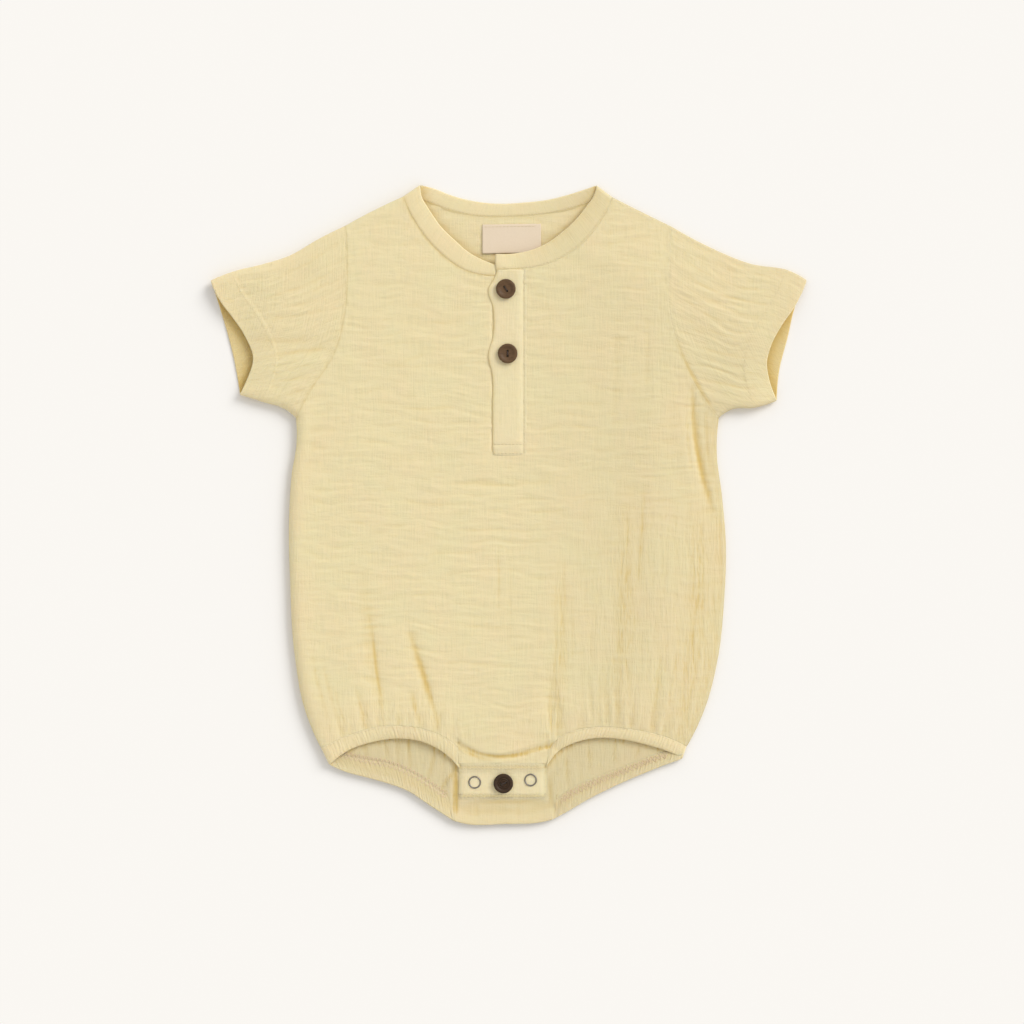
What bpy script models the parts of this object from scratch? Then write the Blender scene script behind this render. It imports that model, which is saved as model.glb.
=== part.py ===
# Baby bodysuit of double gauze, lying flat on its back with the front up.
# Metres, +Z up, +Y towards the neck, +X to the right as seen from above.
# The origin lies on the surface under the garment, at the middle of its box.
# Sizes below are in millimetres, on the garment's own cutting grid; MM turns them into metres.

import math

import bmesh
import bpy
import numpy as np
from mathutils import Vector
from mathutils.bvhtree import BVHTree

MM = 0.001

# Driving sizes
CLOTH = 1.2  # wall of one layer of double gauze
BAND = 1.4  # wall of a folded strip: neckband, leg casings, crotch tab
GAP = 0.3  # between layers that lie on each other
SEAM = 0.2  # each piece stops this far short of its seam line
RIM = 2 * BAND + GAP  # height of the front layer along a closed edge
ROUND = 18.0  # how far from a closed edge the front layer goes on rising
SWELL_POWER = 2.2  # how soon it rises: 1 is an even slope, and more is steeper at the edge
HEM_STEP = 0.5  # the sleeve hem is folded double, so it stands up by this much
HEM_START = 0.8  # share of a sleeve's length at which its hem starts
BAND_CROWN = 0.35  # the neckband's middle stands up by this much
RECESS = {"depth": 1.3, "slope": 6.0}  # the front sinks under the placket strips

# Gathers of a leg casing: number on each arc, height, share of the arc over which they start
GATHERS = 28
GATHER_HEIGHT = 0.45
GATHER_START = 0.16
CASING_END = 0.995  # a casing's arc stops just short of the crotch tab
FRONT_NECK_LENGTH = 110.0  # along one half of the neckband
# The right end lies on the left one: height of its lift, and the shares where that starts and rises
NECK_END_LIFT = 1.0
NECK_END_START = 0.84
NECK_END_RISE = 0.14
LEG_ARC_LENGTH = 90.0

BUTTON_RADIUS = 5.9
BUTTON_HEIGHT = 2.4
BUTTON_DISH = 0.7
BUTTON_HOLE_RADIUS = 0.75
BUTTON_HOLE_SPACING = 3.0
BUTTON_SIDES = 24
RING_RADIUS = 3.45
RING_WIRE = 0.35
LABEL_WALL = 1.0
LABEL_CURL = {"left": 0.5, "right": 0.8}  # its lower corners stand up
PLACKET_UNDER_WALL = 1.0
PLACKET_WALL = 1.2

# Where a piece's grid stops short of its seam lines, as a share of its own width
PANEL_INSET = 0.0009
SLEEVE_INSET = 0.006
STRIP_INSET = 0.024

# Outlines. Every row is one point of a smooth line: x, y.
SHOULDER_LEFT = ((-98.1, 166.6), (-80.1, 176.3), (-63.2, 184.2))
SHOULDER_RIGHT = ((62.2, 184.2), (77.0, 176.7), (98.1, 166.4))
SIDE_LEFT = (
    (-112.5, -146.7),
    (-122.1, -123.9),
    (-128.4, -90.0),
    (-131.1, -45.9),
    (-131.7, -9.9),
    (-130.0, 18.0),
    (-127.2, 36.0),
    (-127.5, 51.3),
)
SIDE_RIGHT = (
    (107.1, -146.1),
    (117.7, -123.9),
    (125.6, -94.0),
    (129.6, -57.9),
    (130.6, -25.0),
    (128.2, 5.0),
    (125.1, 30.0),
    (126.3, 51.3),
)
ARMHOLE_LEFT = (
    (-127.5, 51.3),
    (-117.9, 69.9),
    (-105.3, 89.1),
    (-98.9, 111.9),
    (-97.0, 140.0),
    (-98.1, 166.6),
)
ARMHOLE_RIGHT = (
    (126.3, 51.3),
    (111.1, 72.5),
    (102.3, 92.7),
    (96.5, 114.3),
    (96.3, 140.0),
    (98.1, 166.4),
)
# Sleeves: the upper and lower edges run from the armhole to the cuff,
# and the two edges of the cuff from its upper corner to its lower corner.
SLEEVES = {
    "sleeve_left": {
        "armhole": ARMHOLE_LEFT,
        "upper": (
            (-98.1, 166.6),
            (-114.3, 158.6),
            (-131.1, 148.9),
            (-149.1, 143.2),
            (-164.0, 139.6),
            (-178.5, 134.0),
        ),
        "lower": ((-127.5, 51.3), (-133.5, 56.2), (-148.5, 61.2), (-161.0, 65.2)),
        "cuff_front": (
            (-178.5, 134.0),
            (-172.6, 121.5),
            (-165.7, 112.2),
            (-158.5, 101.5),
            (-153.0, 86.5),
            (-156.5, 74.5),
            (-161.0, 65.2),
        ),
        "cuff_back": ((-178.5, 134.0), (-171.5, 112.0), (-165.5, 90.0), (-161.0, 65.2)),
    },
    "sleeve_right": {
        "armhole": ARMHOLE_RIGHT,
        "upper": ((98.1, 166.4), (121.5, 153.8), (145.0, 144.2), (170.0, 139.4), (179.0, 134.4)),
        "lower": ((126.3, 51.3), (133.5, 56.2), (147.5, 57.4), (160.9, 61.6)),
        "cuff_front": (
            (179.0, 134.4),
            (171.9, 119.0),
            (163.4, 106.5),
            (157.4, 95.0),
            (154.8, 84.5),
            (156.2, 74.5),
            (160.9, 61.6),
        ),
        "cuff_back": ((179.0, 134.4), (172.5, 120.0), (167.5, 99.5), (162.5, 80.0), (160.9, 61.6)),
    },
}
# Strips. Every row is one station: seam x, seam y, free edge x, free edge y.
# They start at the fold where the strip turns over to the back.
NECK_FRONT_LEFT = (
    (-63.2, 184.2, -53.2, 191.2),
    (-60.6, 176.8, -52.4, 184.0),
    (-55.0, 166.6, -47.8, 176.0),
    (-47.0, 156.0, -40.5, 165.6),
    (-37.5, 146.8, -31.9, 157.2),
    (-27.9, 140.4, -24.0, 150.4),
    (-18.8, 137.4, -16.6, 146.2),
    (-8.0, 137.1, -7.9, 142.9),
)
NECK_FRONT_RIGHT = (
    (62.2, 184.2, 53.3, 191.0),
    (59.4, 176.0, 51.6, 185.0),
    (54.0, 167.0, 46.2, 177.2),
    (46.6, 157.8, 39.4, 168.9),
    (37.8, 150.6, 32.0, 162.2),
    (27.6, 144.8, 24.2, 156.4),
    (15.5, 141.4, 14.0, 151.8),
    (4.0, 140.3, 3.6, 149.6),
    (-7.4, 140.8, -7.5, 149.2),
)
NECK_BACK = (
    (-63.2, 184.2, -53.2, 191.2),
    (-50.3, 181.4, -45.1, 189.0),
    (-36.0, 176.2, -33.7, 184.6),
    (-22.0, 172.9, -20.0, 181.3),
    (-5.0, 172.1, -4.0, 179.9),
    (11.0, 172.8, 10.0, 180.7),
    (26.0, 174.4, 24.0, 182.3),
    (40.0, 177.6, 37.8, 185.8),
    (52.0, 181.6, 47.6, 189.0),
    (62.2, 184.2, 53.3, 191.0),
)
LEGS = {
    "leg_casing_left": {
        "front": (
            (-112.5, -146.7, -107.7, -156.5),
            (-98.4, -140.1, -95.5, -147.5),
            (-82.5, -134.8, -80.5, -142.6),
            (-66.5, -133.2, -66.0, -140.8),
            (-50.2, -135.4, -51.2, -142.9),
            (-38.5, -140.0, -40.8, -148.0),
            (-30.5, -146.2, -31.1, -156.8),
        ),
        "back": (
            (-112.5, -146.7, -107.7, -156.5),
            (-100.0, -151.0, -97.5, -160.9),
            (-86.0, -153.8, -86.0, -164.0),
            (-72.9, -156.2, -74.0, -167.3),
            (-60.0, -161.0, -60.4, -172.4),
            (-47.1, -168.8, -46.4, -181.6),
            (-36.5, -177.0, -33.5, -189.9),
        ),
    },
    "leg_casing_right": {
        "front": (
            (107.1, -146.1, 104.7, -152.8),
            (97.5, -141.2, 94.5, -148.0),
            (85.0, -137.4, 83.5, -144.6),
            (69.5, -134.8, 69.0, -141.4),
            (53.5, -133.8, 54.0, -140.4),
            (38.5, -136.6, 40.8, -142.9),
            (29.0, -141.4, 30.8, -147.8),
            (24.6, -147.5, 23.4, -156.8),
        ),
        "back": (
            (107.1, -146.1, 104.7, -152.8),
            (96.0, -148.6, 93.0, -157.0),
            (84.0, -152.4, 80.5, -162.0),
            (66.9, -159.2, 63.5, -169.5),
            (50.1, -165.6, 48.0, -177.2),
            (37.0, -171.8, 36.4, -184.0),
            (28.4, -178.4, 27.0, -189.2),
        ),
    },
}
CROTCH_END = ((-33.5, -189.9), (-28.0, -191.6), (-2.0, -192.2), (20.0, -191.0), (27.0, -189.2))
TAB = {"left": -29.9, "right": 22.7, "top": -156.0, "bottom": -177.5}
TAB_SLOPE = 7.0  # how far below its top edge the tab has come down to the back
TAB_EDGE_DROP = 0.3
# The free edge of the upper placket strip, wavy where it lifts between the buttons: x, y
PLACKET_EDGE = (
    (-7.1, 140.0),
    (-7.6, 137.0),
    (-9.4, 133.6),
    (-11.9, 129.0),
    (-9.2, 117.0),
    (-9.2, 101.0),
    (-12.0, 89.0),
    (-9.7, 77.0),
    (-9.5, 57.0),
    (-9.7, 29.0),
)
PLACKET = {"right": 10.5, "top": 140.0, "bottom": 29.0}
PLACKET_UNDER = {"left": -12.4, "right": 8.5, "top": 136.2, "bottom": 37.0}
# Where its free edge runs out past this line it lifts, fully after this much more
PLACKET_LIFT = {"line": -9.3, "over": 2.4, "height": 0.9}
LABEL = {"left": -15.6, "right": 19.4, "top": 167.5, "bottom": 150.3}

# How high the air inside holds the front above the rim: y, height
LOFT = (
    (195.0, 3.0),
    (165.0, 4.6),
    (140.0, 5.7),
    (100.0, 5.8),
    (50.0, 6.0),
    (0.0, 6.3),
    (-60.0, 6.8),
    (-100.0, 7.0),
    (-125.0, 6.6),
    (-140.0, 5.9),
    (-150.0, 5.3),
    (-200.0, 4.8),
)
# Places that press the front down: x, y, reach in x, reach in y, share taken off
PRESSES = (
    {"x": -31.0, "y": -157.0, "reach_x": 17.0, "reach_y": 13.0, "share": 0.8},
    {"x": 24.0, "y": -156.0, "reach_x": 17.0, "reach_y": 14.0, "share": 0.8},
)
# The belly bulges over the top of the crotch tab and ends along this line: x, y
BELLY_TUCK = (
    (-34.0, -142.0),
    (-24.0, -148.0),
    (-17.0, -151.6),
    (-7.0, -153.2),
    (4.5, -150.9),
    (16.0, -147.3),
    (24.0, -145.0),
    (34.0, -146.0),
)
TUCK_LOFT = 1.4
TUCK_LENGTH = 6.5
TUCK_BLEND = 6.0  # over which the tuck dies out at both ends
# The largest folds: start, middle and end of a soft trough, its half width and its depth
FOLDS = (
    {"from": (-86.1, -57.9), "by": (-79.5, -98.1), "to": (-74.7, -132.0), "half": 5.0, "depth": 1.5},
    {"from": (-61.5, -68.0), "by": (-52.0, -103.0), "to": (-42.0, -136.0), "half": 5.5, "depth": 2.2},
    {"from": (-58.5, -108.0), "by": (-57.0, -119.0), "to": (-55.0, -132.0), "half": 4.5, "depth": 1.2},
    {"from": (-91.0, -108.0), "by": (-88.0, -122.0), "to": (-85.5, -135.0), "half": 4.5, "depth": 1.2},
    {"from": (26.5, -103.0), "by": (24.2, -125.0), "to": (29.0, -142.0), "half": 4.5, "depth": 1.4},
    {"from": (82.0, 20.0), "by": (80.0, -20.0), "to": (78.0, -50.0), "half": 6.0, "depth": 0.7},
    {"from": (33.3, -25.0), "by": (33.6, -55.0), "to": (33.3, -85.0), "half": 5.5, "depth": 0.6},
    {"from": (57.0, -92.0), "by": (55.0, -112.0), "to": (55.5, -132.0), "half": 5.0, "depth": 0.9},
    {"from": (92.0, -88.0), "by": (89.0, -112.0), "to": (84.0, -134.0), "half": 5.0, "depth": 0.9},
    {"from": (109.0, 78.0), "by": (113.0, 30.0), "to": (122.0, -8.0), "half": 5.0, "depth": 1.8},
    {"from": (-108.0, 70.0), "by": (-117.0, 48.0), "to": (-119.0, 22.0), "half": 5.0, "depth": 0.8},
    {"from": (-153.0, 86.5), "by": (-130.0, 93.0), "to": (-103.0, 93.5), "half": 5.5, "depth": 1.4},
    {"from": (155.0, 90.0), "by": (137.0, 92.0), "to": (112.0, 84.0), "half": 6.0, "depth": 0.8},
)
FOLD_SAMPLES = 12
FOLD_LIPS = 0.3  # height of a fold's two lips, as a share of its depth
FOLD_ENDS = {"start": 0.12, "span": 0.82, "fullness": 0.7}  # how its depth comes and goes

# Grid of each large piece: where its columns and rows fall, and how many between
FRONT_ACROSS = (
    (0, 0.035, 0.08, 0.17, 0.3, 0.34, 0.38, 0.62, 0.66, 0.7, 0.83, 0.92, 0.965, 1),
    (3, 2, 3, 5, 2, 2, 8, 2, 2, 5, 3, 2, 3),
)
FRONT_UP = ((0, 0.12, 0.62, 0.93, 1), (7, 14, 9, 4))
# The columns that start beside the crotch tab lean over it, so that none cross at its corners:
# how much, over what height, and how wide a band of them, as a share of half the tab's width
FRONT_LEAN = {"share": 0.3, "reach": 25.0, "width": 0.35}
BACK_ACROSS = ((0, 0.17, 0.36, 0.39, 0.61, 0.64, 0.83, 1), (3, 5, 1, 5, 1, 5, 3))
BACK_UP = ((0, 0.1, 0.62, 1), (2, 8, 9))
SLEEVE_ACROSS = ((0, 0.04, 0.1, 0.2, 0.8, 0.9, 0.96, 1), (1, 1, 1, 5, 1, 1, 1))
SLEEVE_ALONG = ((0, 0.78, 0.81, 1), (6, 1, 2))
SIDE_SHARE = 0.62  # the underarm's place along a side of the body
TOP_KNOTS = (0, 0.17, 0.83, 1)  # both panels: shoulder, neck, shoulder
FRONT_HEM_KNOTS = (0, 0.34, 0.38, 0.62, 0.66, 1)  # leg, step, crotch tab, step, leg
BACK_HEM_KNOTS = (0, 0.36, 0.39, 0.61, 0.64, 1)

# Buttons and snaps: name, place, turn of the holes in degrees, finish
BUTTONS = (
    {"name": "button_top", "x": -1.6, "y": 128.5, "turn": 125, "finish": "button"},
    {"name": "button_lower", "x": -0.5, "y": 89.8, "turn": 90, "finish": "button"},
    {"name": "button_crotch", "x": -3.1, "y": -168.1, "turn": 20, "finish": "dark_button"},
)
RINGS = (
    {"name": "snap_ring_left", "x": -20.3, "y": -167.5},
    {"name": "snap_ring_right", "x": 13.3, "y": -166.1},
)
FINISHES = {
    "cloth": {"colour": (0.80, 0.69, 0.44), "roughness": 0.9, "metallic": 0.0},
    "label": {"colour": (0.78, 0.68, 0.50), "roughness": 0.9, "metallic": 0.0},
    "button": {"colour": (0.13, 0.075, 0.04), "roughness": 0.5, "metallic": 0.0},
    "dark_button": {"colour": (0.07, 0.03, 0.015), "roughness": 0.5, "metallic": 0.0},
    "metal": {"colour": (0.55, 0.53, 0.50), "roughness": 0.3, "metallic": 1.0},
}


def curve(rows):
    """A smooth line through the rows, as a function of the share of its length."""
    knots = np.array(rows, float)
    chords = np.linalg.norm(np.diff(knots, axis=0), axis=1)
    at = np.concatenate([[0], np.cumsum(chords)])
    slopes = np.gradient(knots, at, axis=0, edge_order=min(2, len(knots) - 1))
    fine = np.linspace(0, at[-1], 25 * len(chords) + 1)
    piece = np.clip(np.searchsorted(at, fine, side="right") - 1, 0, len(chords) - 1)
    share = ((fine - at[piece]) / chords[piece])[:, None]
    span = chords[piece][:, None]
    points = (
        (2 * share**3 - 3 * share**2 + 1) * knots[piece]
        + (share**3 - 2 * share**2 + share) * span * slopes[piece]
        + (3 * share**2 - 2 * share**3) * knots[piece + 1]
        + (share**3 - share**2) * span * slopes[piece + 1]
    )
    steps = np.linalg.norm(np.diff(points, axis=0), axis=1)
    length = np.concatenate([[0], np.cumsum(steps)])
    length /= length[-1]

    def along(shares):
        return np.stack([np.interp(shares, length, points[:, axis]) for axis in (0, 1)], axis=-1)

    return along


def chain(lines, knots):
    """Several lines end to end, each over its own stretch of shares."""

    def along(shares):
        shares = np.asarray(shares, float)
        found = np.zeros(shares.shape + (2,))
        for line, low, high in zip(lines, knots[:-1], knots[1:]):
            inside = (shares >= low) & (shares <= high)
            found[inside] = line((shares[inside] - low) / (high - low))
        return found

    return along


def reverse(rows):
    return tuple(reversed(rows))


def seam_of(rows):
    return tuple(row[:2] for row in rows)


def edge_of(rows):
    return tuple(row[2:] for row in rows)


def spread(knots, counts, inset=0.0):
    """Shares from 0 to 1 that fall on each knot, with the two ends drawn in."""
    parts = [np.linspace(low, high, n + 1)[:-1] for low, high, n in zip(knots[:-1], knots[1:], counts)]
    shares = np.append(np.concatenate(parts), knots[-1])
    return np.clip(shares, inset, 1 - inset)


def patch(bottom, top, left, right, across, up):
    """Plan of a piece between four lines: bottom and top run across, left and right run up."""
    u = across[:, None, None]
    v = up[None, :, None]
    ends = np.array([0.0, 1.0])
    low = bottom(ends)
    high = top(ends)
    corners = (1 - u) * ((1 - v) * low[0] + v * high[0]) + u * ((1 - v) * low[1] + v * high[1])
    rows = (1 - v) * bottom(across)[:, None] + v * top(across)[:, None]
    columns = (1 - u) * left(up)[None] + u * right(up)[None]
    return rows + columns - corners


def strip(rows, along, across):
    """Plan of a strip: along runs down its length, across from its seam to its free edge."""
    seam = curve(seam_of(rows))(along)[:, None]
    edge = curve(edge_of(rows))(along)[:, None]
    return seam + across[None, :, None] * (edge - seam)


# Along these lines the front and the back layers meet
CLOSED_EDGES = [
    curve(rows)(np.linspace(0, 1, 40))
    for rows in (
        SHOULDER_LEFT,
        SHOULDER_RIGHT,
        SIDE_LEFT,
        SIDE_RIGHT,
        SLEEVES["sleeve_left"]["upper"],
        SLEEVES["sleeve_left"]["lower"],
        SLEEVES["sleeve_right"]["upper"],
        SLEEVES["sleeve_right"]["lower"],
        (NECK_BACK[0][:2], NECK_BACK[0][2:]),
        (NECK_BACK[-1][:2], NECK_BACK[-1][2:]),
        (SIDE_LEFT[0], LEGS["leg_casing_left"]["front"][0][2:]),
        (SIDE_RIGHT[0], LEGS["leg_casing_right"]["front"][0][2:]),
    )
]


def edge_distance(plan):
    """How far each point of the plan lies from the nearest closed edge."""
    flat = plan.reshape(-1, 1, 2)
    starts = np.concatenate([line[:-1] for line in CLOSED_EDGES])
    runs = np.concatenate([np.diff(line, axis=0) for line in CLOSED_EDGES])
    share = ((flat - starts) * runs).sum(axis=2) / (runs**2).sum(axis=1)
    foot = starts + np.clip(share, 0, 1)[..., None] * runs
    return np.linalg.norm(flat - foot, axis=2).min(axis=1).reshape(plan.shape[:-1])


def smoothstep(share):
    share = np.clip(share, 0, 1)
    return share * share * (3 - 2 * share)


def fold_depth(plan, fold):
    """A soft trough with low lips, deepest at the middle of its length."""
    share = np.linspace(0, 1, FOLD_SAMPLES)[:, None]
    start, by, end = (np.array(fold[key]) for key in ("from", "by", "to"))
    line = (1 - share) ** 2 * start + 2 * share * (1 - share) * by + share**2 * end
    ends = FOLD_ENDS["start"] + FOLD_ENDS["span"] * share[:, 0]
    strength = np.sin(math.pi * ends) ** FOLD_ENDS["fullness"]
    flat = plan.reshape(-1, 2)
    away = np.linalg.norm(flat[:, None] - line[None], axis=2) / fold["half"]
    trough = (strength * np.exp(-(away**2))).max(axis=1)
    lips = (strength * np.exp(-((away - 2.0) ** 2))).max(axis=1)
    return fold["depth"] * (trough - FOLD_LIPS * lips).reshape(plan.shape[:-1])


def height(plan):
    """Top of the front layer above the surface, at each point of a plan."""
    x = plan[..., 0]
    y = plan[..., 1]
    rows = np.array(LOFT[::-1])
    loft = np.interp(y, rows[:, 0], rows[:, 1])
    for press in PRESSES:
        away = ((x - press["x"]) / press["reach_x"]) ** 2 + ((y - press["y"]) / press["reach_y"]) ** 2
        loft = loft * (1 - press["share"] * np.exp(-away))
    tuck = np.array(BELLY_TUCK)
    above = smoothstep((y - np.interp(x, tuck[:, 0], tuck[:, 1])) / TUCK_LENGTH)
    middle = smoothstep((tuck[-1, 0] - x) / TUCK_BLEND) * smoothstep((x - tuck[0, 0]) / TUCK_BLEND)
    loft = loft * (1 - middle) + (TUCK_LOFT + (loft - TUCK_LOFT) * above) * middle
    swell = 1 - (1 - np.clip(edge_distance(plan) / ROUND, 0, 1)) ** SWELL_POWER
    top = RIM + loft * swell
    for fold in FOLDS:
        top = top - fold_depth(plan, fold) * swell
    return top


def steepness(plan):
    """How much longer a wall is measured straight down than square to its slope."""
    step = 1.5
    rise_x = (height(plan + (step, 0)) - height(plan - (step, 0))) / (2 * step)
    rise_y = (height(plan + (0, step)) - height(plan - (0, step))) / (2 * step)
    return np.minimum(np.sqrt(1 + rise_x**2 + rise_y**2), 1.5)


def points(plan, z):
    return np.concatenate([plan, np.broadcast_to(z, plan.shape[:-1])[..., None]], axis=-1)


def front_layer(plan, wall, raised=0.0):
    """Upper and under side of a piece of the front layer."""
    top = height(plan)
    under = np.maximum(top - wall * steepness(plan), CLOTH + GAP)
    return points(plan, top + raised), points(plan, under)


def add_object(name, mesh, finish):
    row = FINISHES[finish]
    material = bpy.data.materials.get(finish) or bpy.data.materials.new(finish)
    material.use_nodes = True
    shader = material.node_tree.nodes["Principled BSDF"]
    shader.inputs["Base Color"].default_value = (*row["colour"], 1)
    shader.inputs["Roughness"].default_value = row["roughness"]
    shader.inputs["Metallic"].default_value = row["metallic"]
    material.diffuse_color = (*row["colour"], 1)
    mesh.materials.append(material)
    thing = bpy.data.objects.new(name, mesh)
    garment.objects.link(thing)
    return thing


def wall_between(name, outer, inner, finish="cloth", rolled=False):
    """A closed wall between two grids of points; rolled joins its last column to its first."""
    columns, rows = outer.shape[:2]
    across = columns if rolled else columns - 1
    mesh = bmesh.new()
    column = mesh.verts.layers.int.new("column")
    row = mesh.verts.layers.int.new("row")
    bmesh.ops.create_grid(mesh, x_segments=across, y_segments=rows - 1, size=1.0)
    lookup = {}
    for vert in mesh.verts:
        vert[column] = round((vert.co.x + 1) / 2 * across)
        vert[row] = round((vert.co.y + 1) / 2 * (rows - 1))
        lookup[vert[column], vert[row]] = vert
    if rolled:
        twins = {lookup[across, number]: lookup[0, number] for number in range(rows)}
        bmesh.ops.weld_verts(mesh, targetmap=twins)
    made = bmesh.ops.extrude_face_region(mesh, geom=mesh.faces[:], use_keep_orig=True)
    under = {item for item in made["geom"] if isinstance(item, bmesh.types.BMVert)}
    for vert in mesh.verts:
        place = (inner if vert in under else outer)[vert[column], vert[row]]
        vert.co = Vector(place) * MM
    bmesh.ops.recalc_face_normals(mesh, faces=mesh.faces)
    data = bpy.data.meshes.new(name)
    mesh.to_mesh(data)
    mesh.free()
    data.shade_smooth()
    data.set_sharp_from_angle(angle=math.radians(50))
    return add_object(name, data, finish)


def body_side(side, armhole):
    return chain((curve(side), curve(armhole)), (0, SIDE_SHARE, 1))


def lean_inwards(plan, across):
    """Move the columns that start beside the crotch tab towards its middle as they rise."""
    middle = (TAB["left"] + TAB["right"]) / 2
    half = (TAB["right"] - TAB["left"]) / 2
    off = (plan[..., 0] - middle) / half
    over_tab = (across >= FRONT_HEM_KNOTS[1]) & (across <= FRONT_HEM_KNOTS[4])
    near = np.exp(-(((np.abs(off) - 1) / FRONT_LEAN["width"]) ** 2)) * over_tab[:, None]
    rise = plan[..., 1] - plan[:, :1, 1]
    lean = FRONT_LEAN["share"] * rise * np.exp(-rise / FRONT_LEAN["reach"])
    leaning = plan.copy()
    leaning[..., 0] -= np.sign(off) * near * lean
    return leaning


def front_panel():
    left_leg = LEGS["leg_casing_left"]["front"]
    right_leg = LEGS["leg_casing_right"]["front"]
    tab_left = (TAB["left"] - SEAM, TAB["top"] + 2 * SEAM)
    tab_right = (TAB["right"] + SEAM, TAB["top"] + 2 * SEAM)
    hem = chain(
        (
            curve(seam_of(left_leg)),
            curve((left_leg[-1][:2], tab_left)),
            curve((tab_left, tab_right)),
            curve((tab_right, right_leg[-1][:2])),
            curve(reverse(seam_of(right_leg))),
        ),
        FRONT_HEM_KNOTS,
    )
    neck = seam_of(NECK_FRONT_LEFT) + seam_of(reverse(NECK_FRONT_RIGHT))
    top = chain((curve(SHOULDER_LEFT), curve(neck), curve(SHOULDER_RIGHT)), TOP_KNOTS)
    across = spread(*FRONT_ACROSS, PANEL_INSET)
    plan = patch(
        hem,
        top,
        body_side(SIDE_LEFT, ARMHOLE_LEFT),
        body_side(SIDE_RIGHT, ARMHOLE_RIGHT),
        across,
        spread(*FRONT_UP, PANEL_INSET),
    )
    plan = lean_inwards(plan, across)
    outer, inner = front_layer(plan, CLOTH)
    middle = (PLACKET["right"] + PLACKET_UNDER["left"]) / 2
    half = (PLACKET["right"] - PLACKET_UNDER["left"]) / 2
    slope = RECESS["slope"]
    beside = smoothstep((half + slope - np.abs(plan[..., 0] - middle)) / slope)
    above = smoothstep((plan[..., 1] - PLACKET["bottom"] + slope) / slope)
    sunk = RECESS["depth"] * beside * above
    outer[..., 2] -= sunk
    inner[..., 2] -= sunk
    return wall_between("front_panel", outer, inner)


def back_panel():
    left_leg = LEGS["leg_casing_left"]["back"]
    right_leg = LEGS["leg_casing_right"]["back"]
    hem = chain(
        (
            curve(seam_of(left_leg)),
            curve((left_leg[-1][:2], CROTCH_END[0])),
            curve(CROTCH_END),
            curve((CROTCH_END[-1], right_leg[-1][:2])),
            curve(reverse(seam_of(right_leg))),
        ),
        BACK_HEM_KNOTS,
    )
    top = chain((curve(SHOULDER_LEFT), curve(seam_of(NECK_BACK)), curve(SHOULDER_RIGHT)), TOP_KNOTS)
    plan = patch(
        hem,
        top,
        body_side(SIDE_LEFT, ARMHOLE_LEFT),
        body_side(SIDE_RIGHT, ARMHOLE_RIGHT),
        spread(*BACK_ACROSS, PANEL_INSET),
        spread(*BACK_UP, PANEL_INSET),
    )
    return wall_between("back_panel", points(plan, CLOTH), points(plan, 0.0))


def sleeve(name):
    """A flattened tube, open at the armhole and at the cuff."""
    lines = {key: curve(rows) for key, rows in SLEEVES[name].items()}
    armhole = curve(reverse(SLEEVES[name]["armhole"]))
    along = np.maximum(spread(*SLEEVE_ALONG), SLEEVE_INSET)
    outside = spread(*SLEEVE_ACROSS)
    inside = spread(*SLEEVE_ACROSS, 0.02)

    def plan(cuff, across):
        return patch(armhole, lines[cuff], lines["upper"], lines["lower"], across, along)

    hem = HEM_STEP * (along > HEM_START)[None]
    upper_out, _ = front_layer(plan("cuff_front", outside), CLOTH, hem)
    _, upper_in = front_layer(plan("cuff_front", inside), CLOTH)
    upper_in[..., 2] = np.minimum(upper_in[..., 2], upper_out[..., 2] - CLOTH)
    lower_out = points(plan("cuff_back", outside), 0.0)
    lower_in = points(plan("cuff_back", inside), CLOTH)
    outer = np.concatenate([upper_out, lower_out[::-1]])
    inner = np.concatenate([upper_in, lower_in[::-1]])
    return wall_between(name, outer, inner, rolled=True)


def neckband():
    """One strip round the neck, turned over to the back at each shoulder."""
    across = np.array([STRIP_INSET, 0.25, 0.6, 1.0])
    crown = BAND_CROWN * (1 - (2 * across - 1) ** 2)[None]
    turn = BAND / FRONT_NECK_LENGTH  # the inner side stops this share short of the fold
    outer = []
    inner = []
    for rows, count, end_lift in ((NECK_FRONT_LEFT, 14, 0.0), (NECK_FRONT_RIGHT, 15, NECK_END_LIFT)):
        out = np.linspace(0, 1, count + 1)
        upper, _ = front_layer(strip(rows, out, across), BAND, crown)
        _, under = front_layer(strip(rows, turn + (1 - turn) * out, across), BAND)
        lift = end_lift * smoothstep((out - NECK_END_START) / NECK_END_RISE)[:, None]
        upper[..., 2] += lift
        under[..., 2] += lift
        outer.append(upper)
        inner.append(under)
    out = np.linspace(0, 1, 15)
    outer.insert(1, points(strip(NECK_BACK, out, across), 0.0))
    inner.insert(1, points(strip(NECK_BACK, turn + (1 - 2 * turn) * out, across), BAND))
    outer[0] = outer[0][::-1]
    inner[0] = inner[0][::-1]
    return wall_between("neckband", np.concatenate(outer), np.concatenate(inner))


def leg_casing(name):
    """A gathered strip round one leg opening, turned over to the back at the side."""
    across = np.array([STRIP_INSET, 0.5, 1.0])
    out = np.linspace(0, CASING_END, 2 * GATHERS + 1)
    turn = BAND / LEG_ARC_LENGTH
    shares = np.linspace(turn, CASING_END, len(out))
    fade = smoothstep(out / GATHER_START)
    crest_or_dip = np.where(np.arange(len(out)) % 2, 1, -1)
    seam_middle_edge = np.array([0.5, 1.0, 0.8])
    wave = GATHER_HEIGHT * (fade * crest_or_dip)[:, None] * seam_middle_edge[None]
    rows = LEGS[name]["front"]
    upper, _ = front_layer(strip(rows, out, across), BAND, wave)
    _, under = front_layer(strip(rows, shares, across), BAND)
    rows = LEGS[name]["back"]
    floor = points(strip(rows, out, across), 0.0)
    lining = points(strip(rows, shares, across), BAND + wave)
    outer = np.concatenate([upper[::-1], floor])
    inner = np.concatenate([under[::-1], lining])
    return wall_between(name, outer, inner)


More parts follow.
